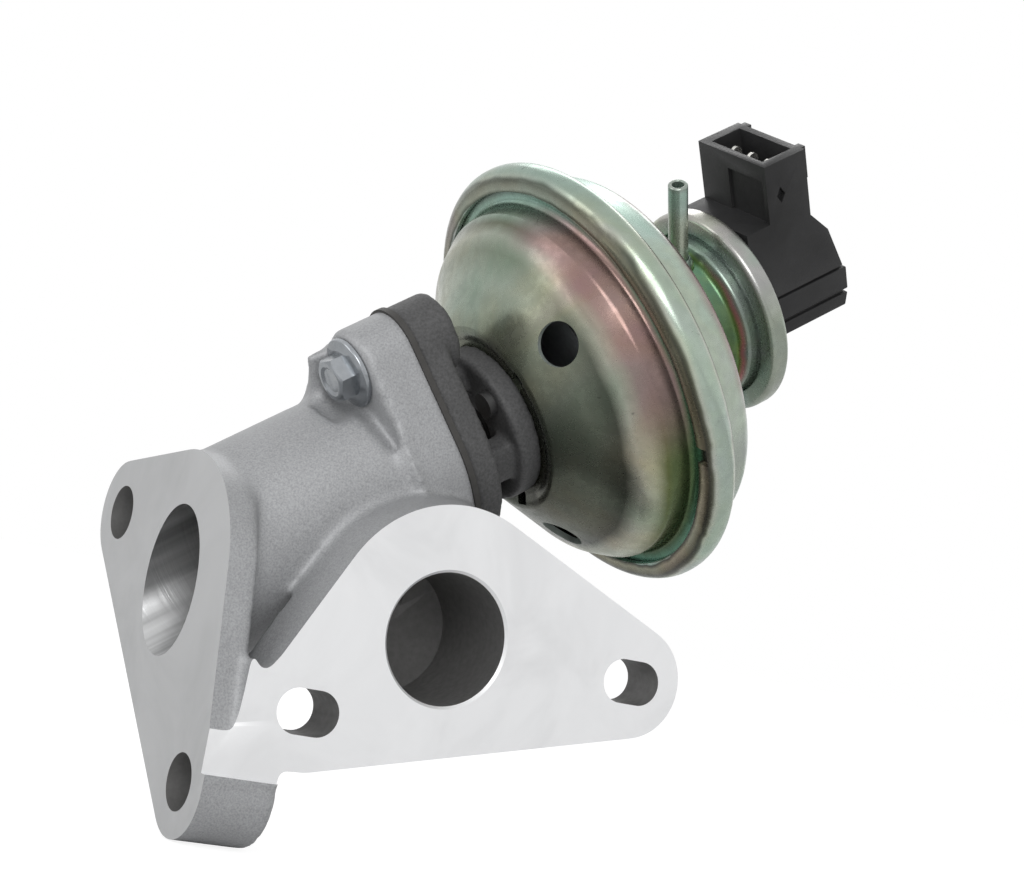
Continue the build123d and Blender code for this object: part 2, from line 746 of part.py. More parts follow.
def make_sensor_housing():
    """Upper half of the sensor with the plug, its round flange, spigot and nose."""
    plug_a = SENSOR_A + PLUG_START
    plug_end = plug_a + PLUG_L
    outline = [
        (SENSOR_SPLIT, SENSOR_A),
        (SENSOR_TOP, SENSOR_A),
        (SENSOR_TOP, plug_a),
        (PLUG_TOP, plug_a),
        (PLUG_TOP, plug_end),
        (SENSOR_TOP - SENSOR_SHOULDER_DROP, plug_end),
        (SENSOR_TOP - SENSOR_SLOPE_DROP, SENSOR_END_A - SENSOR_SLOPE_END),
        (SENSOR_SPLIT, SENSOR_END_A),
    ]
    body = sensor_prism(outline, SENSOR_HALF_W)
    for side in (-1, 1):
        key = side * (SENSOR_HALF_W - KEY_W)
        sides = (key - KEY_W / 2, key + KEY_W / 2)
        body += sensor_box((PLUG_TOP - KEY_H, PLUG_TOP), sides, (plug_end, plug_end + KEY_T))
    base = DISC_BASE_A
    foot_end = base + BASE_DISC_T + SENSOR_FOOT_T
    body += rod(BASE_DISC_R, base, base + BASE_DISC_T) + rod(SENSOR_FOOT_R, base, foot_end)
    spigot_r = NECK_CUP_R - SHEET - GAP
    body += rod(spigot_r, base - SPIGOT_LENGTH, base) + rod(NOSE_R, base - NOSE_LENGTH, base)
    groove = ring_face(spigot_r - O_RING_GROOVE, spigot_r + OVER, *o_ring_groove())
    body -= turned(groove)
    body -= sensor_cavity()
    body -= rod(PLUNGER_R + RUNNING, base - NOSE_LENGTH - OVER, foot_end + OVER)
    socket_side = SENSOR_HALF_W - PLUG_END_WALL
    socket = (PLUG_TOP - PLUG_CAVITY_DEPTH, PLUG_TOP + OVER)
    body -= sensor_box(socket, (-socket_side, socket_side), (plug_a + PLUG_WALL, plug_end - PLUG_WALL))
    panel = (-PANEL_SIDE, SENSOR_HALF_W - PANEL_EDGE)
    body -= sensor_box((SENSOR_TOP, PLUG_TOP - PANEL_DROP), panel, (plug_a - OVER, plug_a + PANEL_DEPTH))
    latch = SENSOR * Pos(LATCH_R, SENSOR_HALF_W, plug_a + PLUG_L / 3) * Rot(90, 0, 0)
    rhombus = Polygon((-LATCH_H / 2, 0), (0, LATCH_W / 2), (LATCH_H / 2, 0), (0, -LATCH_W / 2), align=None)
    body -= latch * extrude(rhombus, LATCH_W / 2, both=True)
    return body - terminal_blades()


def o_ring_groove():
    start = DISC_BASE_A - SPIGOT_LENGTH + O_RING_LAND
    return start, start + O_RING_SECTION + 2 * RUNNING


def make_o_ring():
    cup_inner = NECK_CUP_R - SHEET
    radius = O_RING_SECTION / 2
    circle = Pos(cup_inner - radius - RUNNING, sum(o_ring_groove()) / 2) * Circle(radius)
    return turned(circle)


def make_sensor_cover():
    """Lower half of the sensor, with a shadow gap at the seam and a groove between two ribs."""
    rib = SENSOR_END_A + RIB_PROUD
    outline = [
        (SENSOR_SPLIT, SENSOR_A),
        (SENSOR_SPLIT, rib),
        (RIB_GROOVE_AT, rib),
        (SENSOR_BOTTOM, rib - RIB_DROP),
        (SENSOR_BOTTOM, SENSOR_A),
    ]
    body = sensor_prism(outline, SENSOR_HALF_W)
    for height in (SENSOR_SPLIT - RIB_GROOVE / 2, RIB_GROOVE_AT):
        band = (height - RIB_GROOVE / 2, height + RIB_GROOVE / 2)
        edge = SENSOR_HALF_W - RIB_GROOVE
        body -= sensor_box(band, (edge, edge + 2), (SENSOR_A, rib))
        body -= sensor_box(band, (-edge - 2, -edge), (SENSOR_A, rib))
        body -= sensor_box(band, (-SENSOR_HALF_W, SENSOR_HALF_W), (rib - RIB_GROOVE, rib + OVER))
    return body - sensor_cavity() - make_board()


def pin_sides():
    return [PIN_PITCH * i for i in (-1, 0, 1)]


def terminal_blades():
    middle = SENSOR_A + PLUG_START + PLUG_L / 2
    heights = (SENSOR_CAVITY_TOP, PLUG_TOP - PLUG_CAVITY_DEPTH + PIN_PROUD)
    blades = []
    for t in pin_sides():
        sides = (t - PIN_T / 2, t + PIN_T / 2)
        blades.append(sensor_box(heights, sides, (middle - PIN_W / 2, middle + PIN_W / 2)))
    return blades


def make_terminal_pins():
    return Compound(terminal_blades())


def make_board():
    """Resistor track card on the cavity's side wall."""
    side = SENSOR_WALL - SENSOR_HALF_W
    heights = (SENSOR_BOTTOM + SENSOR_WALL, SENSOR_CAVITY_TOP)
    return sensor_box(heights, (side, side + BOARD_T), (SENSOR_A, CAVITY_END_A))


def make_wiper():
    """Carriage on the plunger that reaches across to the resistor card."""
    card = SENSOR_WALL - SENSOR_HALF_W + BOARD_T
    start = SENSOR_A + WIPER_START
    carriage = sensor_box((-WIPER_H, WIPER_H), (card + GAP, WIPER_H), (start, start + WIPER_A))
    return carriage - rod(PLUNGER_R, SENSOR_A, SENSOR_A + 2 * WIPER_A)


def make_plunger():
    foot = TRAIN_TOP_A + GAP
    top = SENSOR_A + WIPER_START + WIPER_A + PLUNGER_PROUD
    return rod(PLUNGER_FOOT_R, foot, foot + PLUNGER_FOOT_T) + rod(PLUNGER_R, foot, top)


def make_sensor_spring():
    start = SENSOR_A + WIPER_START + WIPER_A
    return coil(SENSOR_SPRING_R, SENSOR_SPRING_WIRE / 2, start, CAVITY_END_A, SENSOR_SPRING_TURNS)


NODES = {
    "housing": make_housing,
    "valve_seat": make_seat,
    "flange_gasket": make_gasket,
    "flange_bolts": make_bolts,
    "yoke": make_yoke,
    "guide_bush": make_bush,
    "soot_shield": make_shield,
    "stem_seal": make_seal,
    "lower_shell": make_lower_shell,
    "shell_rivets": make_rivets,
    "upper_shell": make_upper_shell,
    "vacuum_nipple": make_nipple,
    "diaphragm": make_diaphragm,
    "return_spring": make_return_spring,
    "sensor_ring": make_sensor_ring,
    "o_ring": make_o_ring,
    "sensor_housing": make_sensor_housing,
    "sensor_cover": make_sensor_cover,
    "terminal_pins": make_terminal_pins,
    "resistor_board": make_board,
    "sensor_spring": make_sensor_spring,
    "valve_stem": make_stem,
    "valve_disc": make_valve_head,
    "lower_plate": make_lower_plate,
    "upper_plate": make_upper_plate,
    "stem_nut": make_nut,
    "sensor_plunger": make_plunger,
    "wiper": make_wiper,
}

os.makedirs("parts", exist_ok=True)
for name, make in NODES.items():
    export_step(make(), f"parts/{name}.step")
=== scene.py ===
import json
from math import cos, hypot, pi, radians, sin, tan

import bmesh
import bpy
from mathutils import Matrix, Vector


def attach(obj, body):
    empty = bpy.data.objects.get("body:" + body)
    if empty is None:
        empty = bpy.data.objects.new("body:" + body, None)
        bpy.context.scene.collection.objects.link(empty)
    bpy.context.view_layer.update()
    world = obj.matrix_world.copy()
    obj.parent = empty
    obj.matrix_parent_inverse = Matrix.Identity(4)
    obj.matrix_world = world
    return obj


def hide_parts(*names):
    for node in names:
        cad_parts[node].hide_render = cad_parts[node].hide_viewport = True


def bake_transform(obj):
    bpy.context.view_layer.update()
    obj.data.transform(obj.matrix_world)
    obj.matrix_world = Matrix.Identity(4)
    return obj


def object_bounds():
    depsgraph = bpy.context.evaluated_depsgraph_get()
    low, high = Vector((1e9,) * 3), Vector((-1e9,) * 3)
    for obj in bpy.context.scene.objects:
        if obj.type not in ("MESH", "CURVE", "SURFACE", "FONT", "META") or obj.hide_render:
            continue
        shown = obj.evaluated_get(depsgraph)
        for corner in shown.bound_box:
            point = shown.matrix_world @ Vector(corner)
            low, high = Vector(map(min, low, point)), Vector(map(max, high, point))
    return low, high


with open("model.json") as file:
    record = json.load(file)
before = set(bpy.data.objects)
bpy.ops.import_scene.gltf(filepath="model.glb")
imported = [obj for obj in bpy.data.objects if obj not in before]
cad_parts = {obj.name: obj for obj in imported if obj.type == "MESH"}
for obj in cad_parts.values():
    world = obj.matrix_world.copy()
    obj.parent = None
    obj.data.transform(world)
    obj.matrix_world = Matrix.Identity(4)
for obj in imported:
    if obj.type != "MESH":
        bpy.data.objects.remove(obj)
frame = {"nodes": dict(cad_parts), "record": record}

bl_info = {
    "name": "Vacuum EGR valve",
    "version": (1, 0, 0),
    "blender": (4, 5, 0),
    "location": "3D View > Sidebar > EGR valve",
    "description": "Dresses the frame of a vacuum operated exhaust gas recirculation valve",
    "category": "Object",
}

MM = 0.001
CAD_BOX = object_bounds()

# Stem frame: z along the valve stem, x up, y to the front
STEM_TILT = radians(35)
STEM_POINT = Vector((-14.3, 29.5, 21.7)) * MM
STEM_DIR = Vector((cos(STEM_TILT), 0, sin(STEM_TILT)))
STEM_UP = Vector((-sin(STEM_TILT), 0, cos(STEM_TILT)))
STEM = Matrix.Translation(STEM_POINT) @ Matrix((STEM_UP, (0, -1, 0), STEM_DIR)).transposed().to_4x4()

# Stations along the stem and radii about it, in millimetres, and turns about it, in degrees
SHEET = 1.2
PAD_END = 39.1
CREST = 16.6
RIM_FRONT = 57.4
RIM_H = 7.2
REAR = 73.6
RING_START = 92.8
RING_END = 97.2
NIPPLE_STATION = 86.2
SEAT = -16.0
JOINT_BASE = 9.8
JOINT_FACE = 19.5
BOLT_END = 27.7
HEAD_H = 4.8
HEAD_FLATS = 8.0
COLLAR_R = 6.9
WALL_T = 2.6
BOLT_REACH = 24.0
BOLT_TURNS = (20.5, 200.5)
BOLT_PLACES = [(BOLT_REACH * cos(radians(turn)), BOLT_REACH * sin(radians(turn))) for turn in BOLT_TURNS]
LOBES = [STEM @ Matrix.Rotation(radians(turn), 4, "Z") for turn in BOLT_TURNS]
JOINT_LOBE_R = 8.0
JOINT_HUB_R = 20.0
VENT_TURNS = (61, 181, 301)
NOTCH_TURN = 111
NIPPLE_TURN = 29.3
SENSOR_TURN = 20
PIN_TIP = 1.12

# Flange planes and holes of the housing, in millimetres; FRONT looks out of the front face
LEFT_FACE = -43.3
MILL_END = -30.3
BOSS_FRONT = -1.65
FLANGE_T = 11
FLANGE_BACK = 11.5
PORT_R = 12.3
PORT_DEPTH = 24.5
BORE_R = 11.65
PASSAGE_R = 9.5
PASSAGE = ((0, 13.0, 0), (-14.9, 29.5, 21.28))
SLOT_R = 4.2
SLOT_REACH = 2
LEFT_HOLE_R = 5.25
SLOTS = ((-25.1, -17.08), (41.16, -1.79))
LEFT_HOLES = ((59.28, 12.19, -37.0), (8.59, -33.13, -28.5))
FRONT = Matrix(((1, 0, 0, 0), (0, 0, -1, 0), (0, 1, 0, 0), (0, 0, 0, 1)))

# Material slots of the casting
CAST, MILLED, LEFT_MILLED, BORED, DRILLED = range(5)
FINISHES = 5


def set_input(node, **values):
    """Set a node's sockets by name, with underscores for spaces."""
    for name, value in values.items():
        node.inputs[name.replace("_", " ")].default_value = value


class Shader:
    """Small helper that builds a node material from left to right."""

    def __init__(self, name, color, metallic, roughness):
        self.material = bpy.data.materials.new(name)
        self.material.use_nodes = True
        self.material.diffuse_color = (*color, 1)
        self.nodes = self.material.node_tree.nodes
        self.links = self.material.node_tree.links
        self.surface = self.nodes["Principled BSDF"]
        set_input(self.surface, Base_Color=(*color, 1), Metallic=metallic, Roughness=roughness)
        self.place = self.nodes.new("ShaderNodeTexCoord").outputs["Object"]

    def mapped(self, matrix, scale=(1, 1, 1)):
        """Object place moved into a local frame, then scaled."""
        inverse = matrix.inverted()
        turn = self.nodes.new("ShaderNodeMapping")
        turn.vector_type = "POINT"
        turn.inputs["Location"].default_value = inverse.translation
        turn.inputs["Rotation"].default_value = inverse.to_euler()
        self.links.new(self.place, turn.inputs["Vector"])
        stretch = self.nodes.new("ShaderNodeMapping")
        stretch.inputs["Scale"].default_value = scale
        self.links.new(turn.outputs["Vector"], stretch.inputs["Vector"])
        return stretch.outputs["Vector"]

    def noise(self, scale, detail=3.0, roughness=0.55, distortion=0.0, place=None):
        node = self.nodes.new("ShaderNodeTexNoise")
        set_input(node, Scale=scale, Detail=detail, Roughness=roughness, Distortion=distortion)
        self.links.new(place or self.place, node.inputs["Vector"])
        return node.outputs["Fac"]

    def math(self, kind, first, second=0.0, clamp=False):
        node = self.nodes.new("ShaderNodeMath")
        node.operation = kind
        node.use_clamp = clamp
        for socket, value in zip(node.inputs, (first, second)):
            if isinstance(value, (int, float)):
                socket.default_value = value
            else:
                self.links.new(value, socket)
        return node.outputs[0]

    def ramp(self, value, stops, interpolation="LINEAR"):
        """Colour ramp from a list of (position, colour or grey)."""
        node = self.nodes.new("ShaderNodeValToRGB")
        node.color_ramp.interpolation = interpolation
        elements = node.color_ramp.elements
        while len(elements) < len(stops):
            elements.new(0.5)
        for element, (position, color) in zip(elements, stops):
            element.position = position
            element.color = (color, color, color, 1) if isinstance(color, (int, float)) else (*color, 1)
        self.links.new(value, node.inputs["Fac"])
        return node.outputs["Color"]

    def mix(self, factor, first, second, blend="MIX"):
        node = self.nodes.new("ShaderNodeMix")
        node.data_type = "RGBA"
        node.blend_type = blend
        sockets = (node.inputs[0], node.inputs[6], node.inputs[7])
        for socket, value in zip(sockets, (factor, first, second)):
            if isinstance(value, (int, float)):
                socket.default_value = value
            elif isinstance(value, tuple):
                socket.default_value = (*value, 1)
            else:
                self.links.new(value, socket)
        return node.outputs[2]

    def radius(self, place):
        """Distance from the Z axis of a mapped place."""
        flat = self.nodes.new("ShaderNodeVectorMath")
        flat.operation = "MULTIPLY"
        flat.inputs[1].default_value = (1, 1, 0)
        self.links.new(place, flat.inputs[0])
        length = self.nodes.new("ShaderNodeVectorMath")
        length.operation = "LENGTH"
        self.links.new(flat.outputs["Vector"], length.inputs[0])
        return length.outputs["Value"]

    def facing(self, place, turn):
        """0 to 1: how far a mapped place lies on the side of an angle about the Z axis."""
        flat = self.nodes.new("ShaderNodeVectorMath")
        flat.operation = "MULTIPLY"
        flat.inputs[1].default_value = (1, 1, 0)
        self.links.new(place, flat.inputs[0])
        way = self.nodes.new("ShaderNodeVectorMath")
        way.operation = "NORMALIZE"
        self.links.new(flat.outputs["Vector"], way.inputs[0])
        along = self.nodes.new("ShaderNodeVectorMath")
        along.operation = "DOT_PRODUCT"
        along.inputs[1].default_value = (cos(turn), sin(turn), 0)
        self.links.new(way.outputs["Vector"], along.inputs[0])
        return self.math("ADD", self.math("MULTIPLY", along.outputs["Value"], 0.5), 0.5)

    def color(self, value):
        self.links.new(value, self.surface.inputs["Base Color"])

    def rough(self, value):
        self.links.new(value, self.surface.inputs["Roughness"])

    def bump(self, height, distance, strength=1.0):
        node = self.nodes.new("ShaderNodeBump")
        set_input(node, Strength=strength, Distance=distance)
        self.links.new(height, node.inputs["Height"])
        previous = self.surface.inputs["Normal"]
        if previous.is_linked:
            self.links.new(previous.links[0].from_socket, node.inputs["Normal"])
        self.links.new(node.outputs["Normal"], previous)


def tinted(color, factor):
    """Lighter or darker tone of a colour."""
    return tuple(min(1, c * factor) for c in color)


def cast_aluminium(name, color):
    """Shot blasted casting: very fine grain, faint flow marks and small pores."""
    shader = Shader(name, color, 0.3, 0.5)
    grain = shader.noise(2600, 2, 0.7)
    coarse = shader.noise(800, 2)
    flow = shader.noise(55, 3)
    tone = shader.ramp(grain, [(0.3, tinted(color, 0.78)), (0.7, tinted(color, 1.2))])
    cloud = shader.ramp(flow, [(0.3, 0.9), (0.7, 1.0)])
    shader.color(shader.mix(1.0, tone, cloud, "MULTIPLY"))
    shader.rough(shader.ramp(grain, [(0.3, 0.42), (0.7, 0.62)]))
    shader.bump(shader.math("ADD", grain, shader.math("MULTIPLY", coarse, 0.6)), 0.00006, 0.7)
    return shader.material


def machined(name, color, metallic, roughness, depth):
    """Milled face: soft cutter marks with a faint blotchy tone."""
    shader = Shader(name, color, metallic, roughness)
    marks = shader.noise(900, 2)
    blotch = shader.noise(38, 4, 0.6, 0.8)
    tone = shader.ramp(blotch, [(0.32, tinted(color, 0.88)), (0.52, tinted(color, 0.97)), (0.66, color)])
    shader.color(tone)
    shader.rough(shader.ramp(blotch, [(0.3, roughness + 0.1), (0.7, roughness)]))
    shader.bump(marks, depth, 0.4)
    return shader.material


def bored(name, color):
    """Bored wall with light and dark stripes along the bore: painted reflections of its tool marks in its
    tone, with its roughness also changing along them.
    """
    shader = Shader(name, color, 0.85, 0.3)
    painted_reflection_streaks = shader.noise(150, 3, 0.6, place=shader.mapped(STEM, (1, 1, 0.04)))
    rings = shader.noise(2200, 1, place=shader.mapped(STEM, (0.02, 0.02, 1)))
    # Painted reflection: light and dark tone stripes along the bore
    tone = shader.ramp(painted_reflection_streaks, [(0.36, tinted(color, 0.45)), (0.5, tinted(color, 0.85)), (0.62, color)])
    shader.color(tone)
    shader.rough(shader.ramp(painted_reflection_streaks, [(0.3, 0.42), (0.7, 0.24)]))
    shader.bump(rings, 0.00004, 0.6)
    return shader.material


def coated_iron(name, color):
    """Dark coated cast iron with a fine dull grain."""
    shader = Shader(name, color, 0.0, 0.58)
    set_input(shader.surface, Specular_IOR_Level=0.35)
    grain = shader.noise(1900, 3, 0.6)
    cloud = shader.noise(90, 3)
    tone = shader.ramp(grain, [(0.3, tinted(color, 0.72)), (0.72, tinted(color, 1.35))])
    shader.color(shader.mix(1.0, tone, shader.ramp(cloud, [(0.3, 0.8), (0.7, 1.0)]), "MULTIPLY"))
    shader.bump(grain, 0.0001, 0.6)
    return shader.material


def zinc_with_painted_light(name, painted_lit_bands, painted_shaded_bands, tints):
    """Zinc plate with painted light: tones by the distance from the stem paint highlights, reflections and
    shade over the zinc's own colour, one side of the stem is painted lit and the other shaded, a rose patch
    sits on one side, and a passivation tint drifts round it.
    """
    shader = Shader(name, painted_lit_bands[0][1], 0.75, 0.26)
    around = shader.mapped(STEM)
    drift = shader.noise(15, 2, 0.5, 1.0, place=around)
    patches = shader.noise(48, 3, 0.6, 0.6, place=around)
    spread = shader.math("MULTIPLY", shader.math("SUBTRACT", patches, 0.5), 0.05)
    reach = shader.math("ADD", shader.math("MULTIPLY", shader.radius(around), 1 / (50 * MM)), spread)
    # Painted light: ramps by the distance from the stem, one for the side painted as lit and one for the side
    # painted as shaded
    light, deep = [
        shader.ramp(reach, [(r / 50, color) for r, color in bands]) for bands in (painted_lit_bands, painted_shaded_bands)
    ]
    # Painted light: the lit bands go to the side towards the painted light's turn, the shaded bands to the
    # far side
    side = shader.math("ADD", shader.facing(around, PAINTED_LIGHT_TURN), shader.math("MULTIPLY", spread, 3))
    base = shader.mix(shader.ramp(side, [(0.15, 0.0), (0.85, 1.0)], "EASE"), deep, light)
    rose_side = shader.ramp(shader.facing(around, ROSE_TURN), [(0.80, 0.0), (0.95, 0.85)], "EASE")
    rose_band = shader.ramp(reach, [(0.66, 0.0), (0.71, 1.0), (0.755, 1.0), (0.775, 0.0)])
    base = shader.mix(shader.math("MULTIPLY", rose_side, rose_band), base, ROSE)
    film = shader.math("ADD", shader.math("MULTIPLY", drift, 0.75), shader.math("MULTIPLY", patches, 0.25))
    count = len(tints) - 1
    tint = shader.ramp(film, [(0.36 + 0.28 * i / count, color) for i, color in enumerate(tints)])
    spangle = shader.noise(420, 3, 0.6)
    specks = shader.ramp(shader.noise(360, 2, 0.5, 1.0), [(0.72, 1.0), (0.77, 0.6)])
    tone = shader.mix(1.0, shader.mix(1.0, base, tint, "MULTIPLY"), specks, "MULTIPLY")
    shader.color(shader.mix(1.0, tone, shader.ramp(spangle, [(0.3, 0.86), (0.7, 1.0)]), "MULTIPLY"))
    shader.rough(shader.ramp(spangle, [(0.3, 0.34), (0.7, 0.2)]))
    shader.bump(shader.noise(1200, 2), 0.00002, 0.3)
    return shader.material


def plain_metal(name, color, roughness, metallic=0.9):
    """Plain metal with a faint grain."""
    shader = Shader(name, color, metallic, roughness)
    grain = shader.noise(800, 3)
    shader.color(shader.ramp(grain, [(0.3, tinted(color, 0.85)), (0.7, color)]))
    shader.rough(shader.ramp(grain, [(0.3, roughness + 0.08), (0.7, roughness)]))
    shader.bump(grain, 0.00002, 0.4)
    return shader.material


def moulded(name, color, roughness):
    """Moulded plastic or rubber with a spark eroded texture."""
    shader = Shader(name, color, 0.0, roughness)
    set_input(shader.surface, Specular_IOR_Level=0.28)
    grain = shader.noise(2600, 2, 0.6)
    wear = shader.noise(120, 4, 0.6)
    shader.color(shader.ramp(wear, [(0.3, tinted(color, 0.8)), (0.7, tinted(color, 1.3))]))
    shader.rough(shader.ramp(grain, [(0.3, roughness + 0.08), (0.7, roughness - 0.05)]))
    shader.bump(grain, 0.00003, 0.6)
    return shader.material


def unit(vector):
    """Flat vector of length 1."""
    length = hypot(*vector)
    return vector[0] / length, vector[1] / length


def offset_corners(corners, thickness):
    """The same bent line moved to its left by the sheet thickness, with its bends kept concentric."""
    moved = []
    for i, (r, a, bend) in enumerate(corners):
        steps = []
        if i > 0:
            steps.append(unit((r - corners[i - 1][0], a - corners[i - 1][1])))
        if i < len(corners) - 1:
            steps.append(unit((corners[i + 1][0] - r, corners[i + 1][1] - a)))
        sr = sum(-s[1] for s in steps)
        sa = sum(s[0] for s in steps)
        scale = thickness * len(steps) / (sr * sr + sa * sa)
        if len(steps) == 2:
            left_turn = steps[0][0] * steps[1][1] - steps[0][1] * steps[1][0] > 0
            bend = max(bend - thickness if left_turn else bend + thickness, 0)
        moved.append((r + sr * scale, a + sa * scale, bend))
    return moved


def sheet_loop(corners, thickness, edge=0.25):
    """Closed section of bent sheet: out along one side and back along the other, edges broken."""
    back = offset_corners(corners, thickness)[::-1]
    loop = [list(c) for c in corners + back]
    for i in (0, len(corners) - 1, len(corners), len(loop) - 1):
        loop[i][2] = edge
    return loop


def section_wire(bm, corners):
    """Closed wire in the XZ plane through (radius, station, bend radius) corners, with the bends rounded."""
    count = len(corners)
    verts = [bm.verts.new((r * MM, 0, a * MM)) for r, a, bend in corners]
    for i in range(count):
        bm.edges.new((verts[i], verts[(i + 1) % count]))
    for i, (r, a, bend) in enumerate(corners):
        before, after = corners[i - 1], corners[(i + 1) % count]
        inward = Vector((r - before[0], a - before[1]))
        outward = Vector((after[0] - r, after[1] - a))
        turn = inward.angle(outward)
        if bend > 0.02 and turn > 0.02:
            reach = bend * MM * tan(turn / 2)
            steps = max(3, int(turn / radians(9)))
            bmesh.ops.bevel(
                bm, geom=[verts[i]], offset=reach, offset_type="OFFSET", segments=steps, profile=0.5,
                affect="VERTICES", material=-1,
            )


def spun_mesh(corners, steps=180):
    """Solid of revolution about Z from a closed section."""
    bm = bmesh.new()
    section_wire(bm, corners)
    bmesh.ops.spin(
        bm, geom=bm.verts[:] + bm.edges[:], cent=(0, 0, 0), axis=(0, 0, 1), dvec=(0, 0, 0),
        angle=2 * pi, steps=steps, use_merge=True, use_duplicate=False,
    )
    bmesh.ops.remove_doubles(bm, verts=bm.verts[:], dist=1e-7)
    bmesh.ops.dissolve_degenerate(bm, edges=bm.edges[:], dist=1e-8)
    bmesh.ops.recalc_face_normals(bm, faces=bm.faces[:])
    return bm


def finish_piece(bm, name, body, materials, matrix=None, smooth=35.0):
    """Make an object at the origin from a mesh, shade it and let it ride on its body, if it has just one."""
    if matrix is not None:
        bmesh.ops.transform(bm, matrix=matrix, verts=bm.verts[:])
    mesh = bpy.data.meshes.new(name)
    bm.to_mesh(mesh)
    bm.free()
    for material in materials:
        mesh.materials.append(material)
    mesh.shade_smooth()
    mesh.set_sharp_from_angle(angle=radians(smooth))
    piece = bpy.data.objects.new(name, mesh)
    bpy.context.scene.collection.objects.link(piece)
    if body:
        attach(piece, body)
    return piece


def stand_in(node):
    """A piece takes the place of a frame node."""
    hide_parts(node)


def solid_object(bm, name):
    """Object of a closed mesh, with as many empty material slots as the casting has finishes."""
    mesh = bpy.data.meshes.new(name)
    bm.to_mesh(mesh)
    bm.free()
    for i in range(FINISHES):
        mesh.materials.append(None)
    tool = bpy.data.objects.new(name, mesh)
    bpy.context.scene.collection.objects.link(tool)
    return tool


def worked(target, tools=()):
    """Mesh of an object with its modifiers worked in; the objects go."""
    bpy.context.view_layer.update()
    done = bpy.data.meshes.new_from_object(target.evaluated_get(bpy.context.evaluated_depsgraph_get()))
    result = bmesh.new()
    result.from_mesh(done)
    for leftover in [target, *tools]:
        mesh = leftover.data
        bpy.data.objects.remove(leftover)
        bpy.data.meshes.remove(mesh)
    bpy.data.meshes.remove(done)
    return result


def cut(bm, cutters, operation="DIFFERENCE"):
    """Take closed meshes out of a mesh, join them on, or keep what they share."""
    target = solid_object(bm, "cut_target")
    tools = [solid_object(tool, "cut_tool") for tool in cutters]
    for tool in tools:
        modifier = target.modifiers.new("cut", "BOOLEAN")
        modifier.operation = operation
        modifier.solver = "MANIFOLD"
        modifier.object = tool
    return worked(target, tools)


def rounded_rod(radius, low, high, edge, steps=48):
    """Closed cylinder along Z with broken edges."""
    return spun_mesh([(0, low, 0), (radius, low, edge), (radius, high, edge), (0, high, 0)], steps)


def about_stem(angle):
    """Turn about the Z axis of the stem frame, in degrees."""
    return Matrix.Rotation(radians(angle), 4, "Z")


def node_mesh(name):
    """Merged copy of a CAD node's mesh."""
    bm = bmesh.new()
    bm.from_mesh(frame["nodes"][name].data)
    bmesh.ops.remove_doubles(bm, verts=bm.verts[:], dist=2e-7)
    return bm


def placed(bm, matrix):
    """The same mesh, moved by a matrix."""
    bmesh.ops.transform(bm, matrix=matrix, verts=bm.verts[:])
    return bm


def with_finish(bm, index):
    """Give all faces of a cutter the finish that it leaves behind."""
    for face in bm.faces:
        face.material_index = index
    return bm


def joined(meshes):
    """Several meshes put side by side into one."""
    whole = bmesh.new()
    for bm in meshes:
        part = bpy.data.meshes.new("part")
        bm.to_mesh(part)
        bm.free()
        whole.from_mesh(part)
        bpy.data.meshes.remove(part)
    return whole


def cylinder(radius, start, end, end_radius=None, steps=128):
    """Closed cylinder or cone between two points given in millimetres."""
    axis = (Vector(end) - Vector(start)) * MM
    bm = bmesh.new()
    bmesh.ops.create_cone(
        bm, cap_ends=True, cap_tris=False, segments=steps, radius1=radius * MM,
        radius2=(radius if end_radius is None else end_radius) * MM, depth=axis.length,
    )
    turn = axis.to_track_quat("Z", "Y").to_matrix().to_4x4()
    return placed(bm, Matrix.Translation(Vector(start) * MM + axis / 2) @ turn)


def block(low, high):
    """Box between two corners given in millimetres."""
    bm = bmesh.new()
    bmesh.ops.create_cube(bm, size=1)
    size = (Vector(high) - Vector(low)) * MM
    middle = (Vector(high) + Vector(low)) / 2 * MM
    return placed(bm, Matrix.Translation(middle) @ Matrix.Diagonal((*size, 1)))


def hull_prism(circles, low, high, matrix, steps=48):
    """Prism whose outline wraps circles given as (x, y, radius), between two heights."""
    bm = bmesh.new()
    for x, y, radius in circles:
        for i in range(steps):
            turn = 2 * pi * i / steps
            for z in (low, high):
                bm.verts.new(((x + radius * cos(turn)) * MM, (y + radius * sin(turn)) * MM, z * MM))
    hull = bmesh.ops.convex_hull(bm, input=bm.verts[:])
    spare = [item for item in hull["geom_interior"] if isinstance(item, bmesh.types.BMVert)]
    bmesh.ops.delete(bm, geom=spare, context="VERTS")
    return placed(bm, matrix)


def stem_point(station):
    """Point on the stem axis, in millimetres."""
    return STEM @ Vector((0, 0, station * MM)) / MM


def relax(bm, verts, rounds):
    """Draw vertices towards their neighbours a number of times."""
    for i in range(rounds):
        bmesh.ops.smooth_vert(bm, verts=verts, factor=0.5, use_axis_x=True, use_axis_y=True, use_axis_z=True)


def gusset_verts(bm):
    """Vertices of the gussets beside the bolt heads, below the flange."""
    chosen = []
    for lobe in LOBES:
        inverse = lobe.inverted()
        for vert in bm.verts:
            along, across, station = inverse @ vert.co / MM
            beside = across < -5.2 and hypot(along - BOLT_REACH, across) < 18
            if beside and 0 < station < JOINT_BASE - 0.3:
                chosen.append(vert)
    return chosen


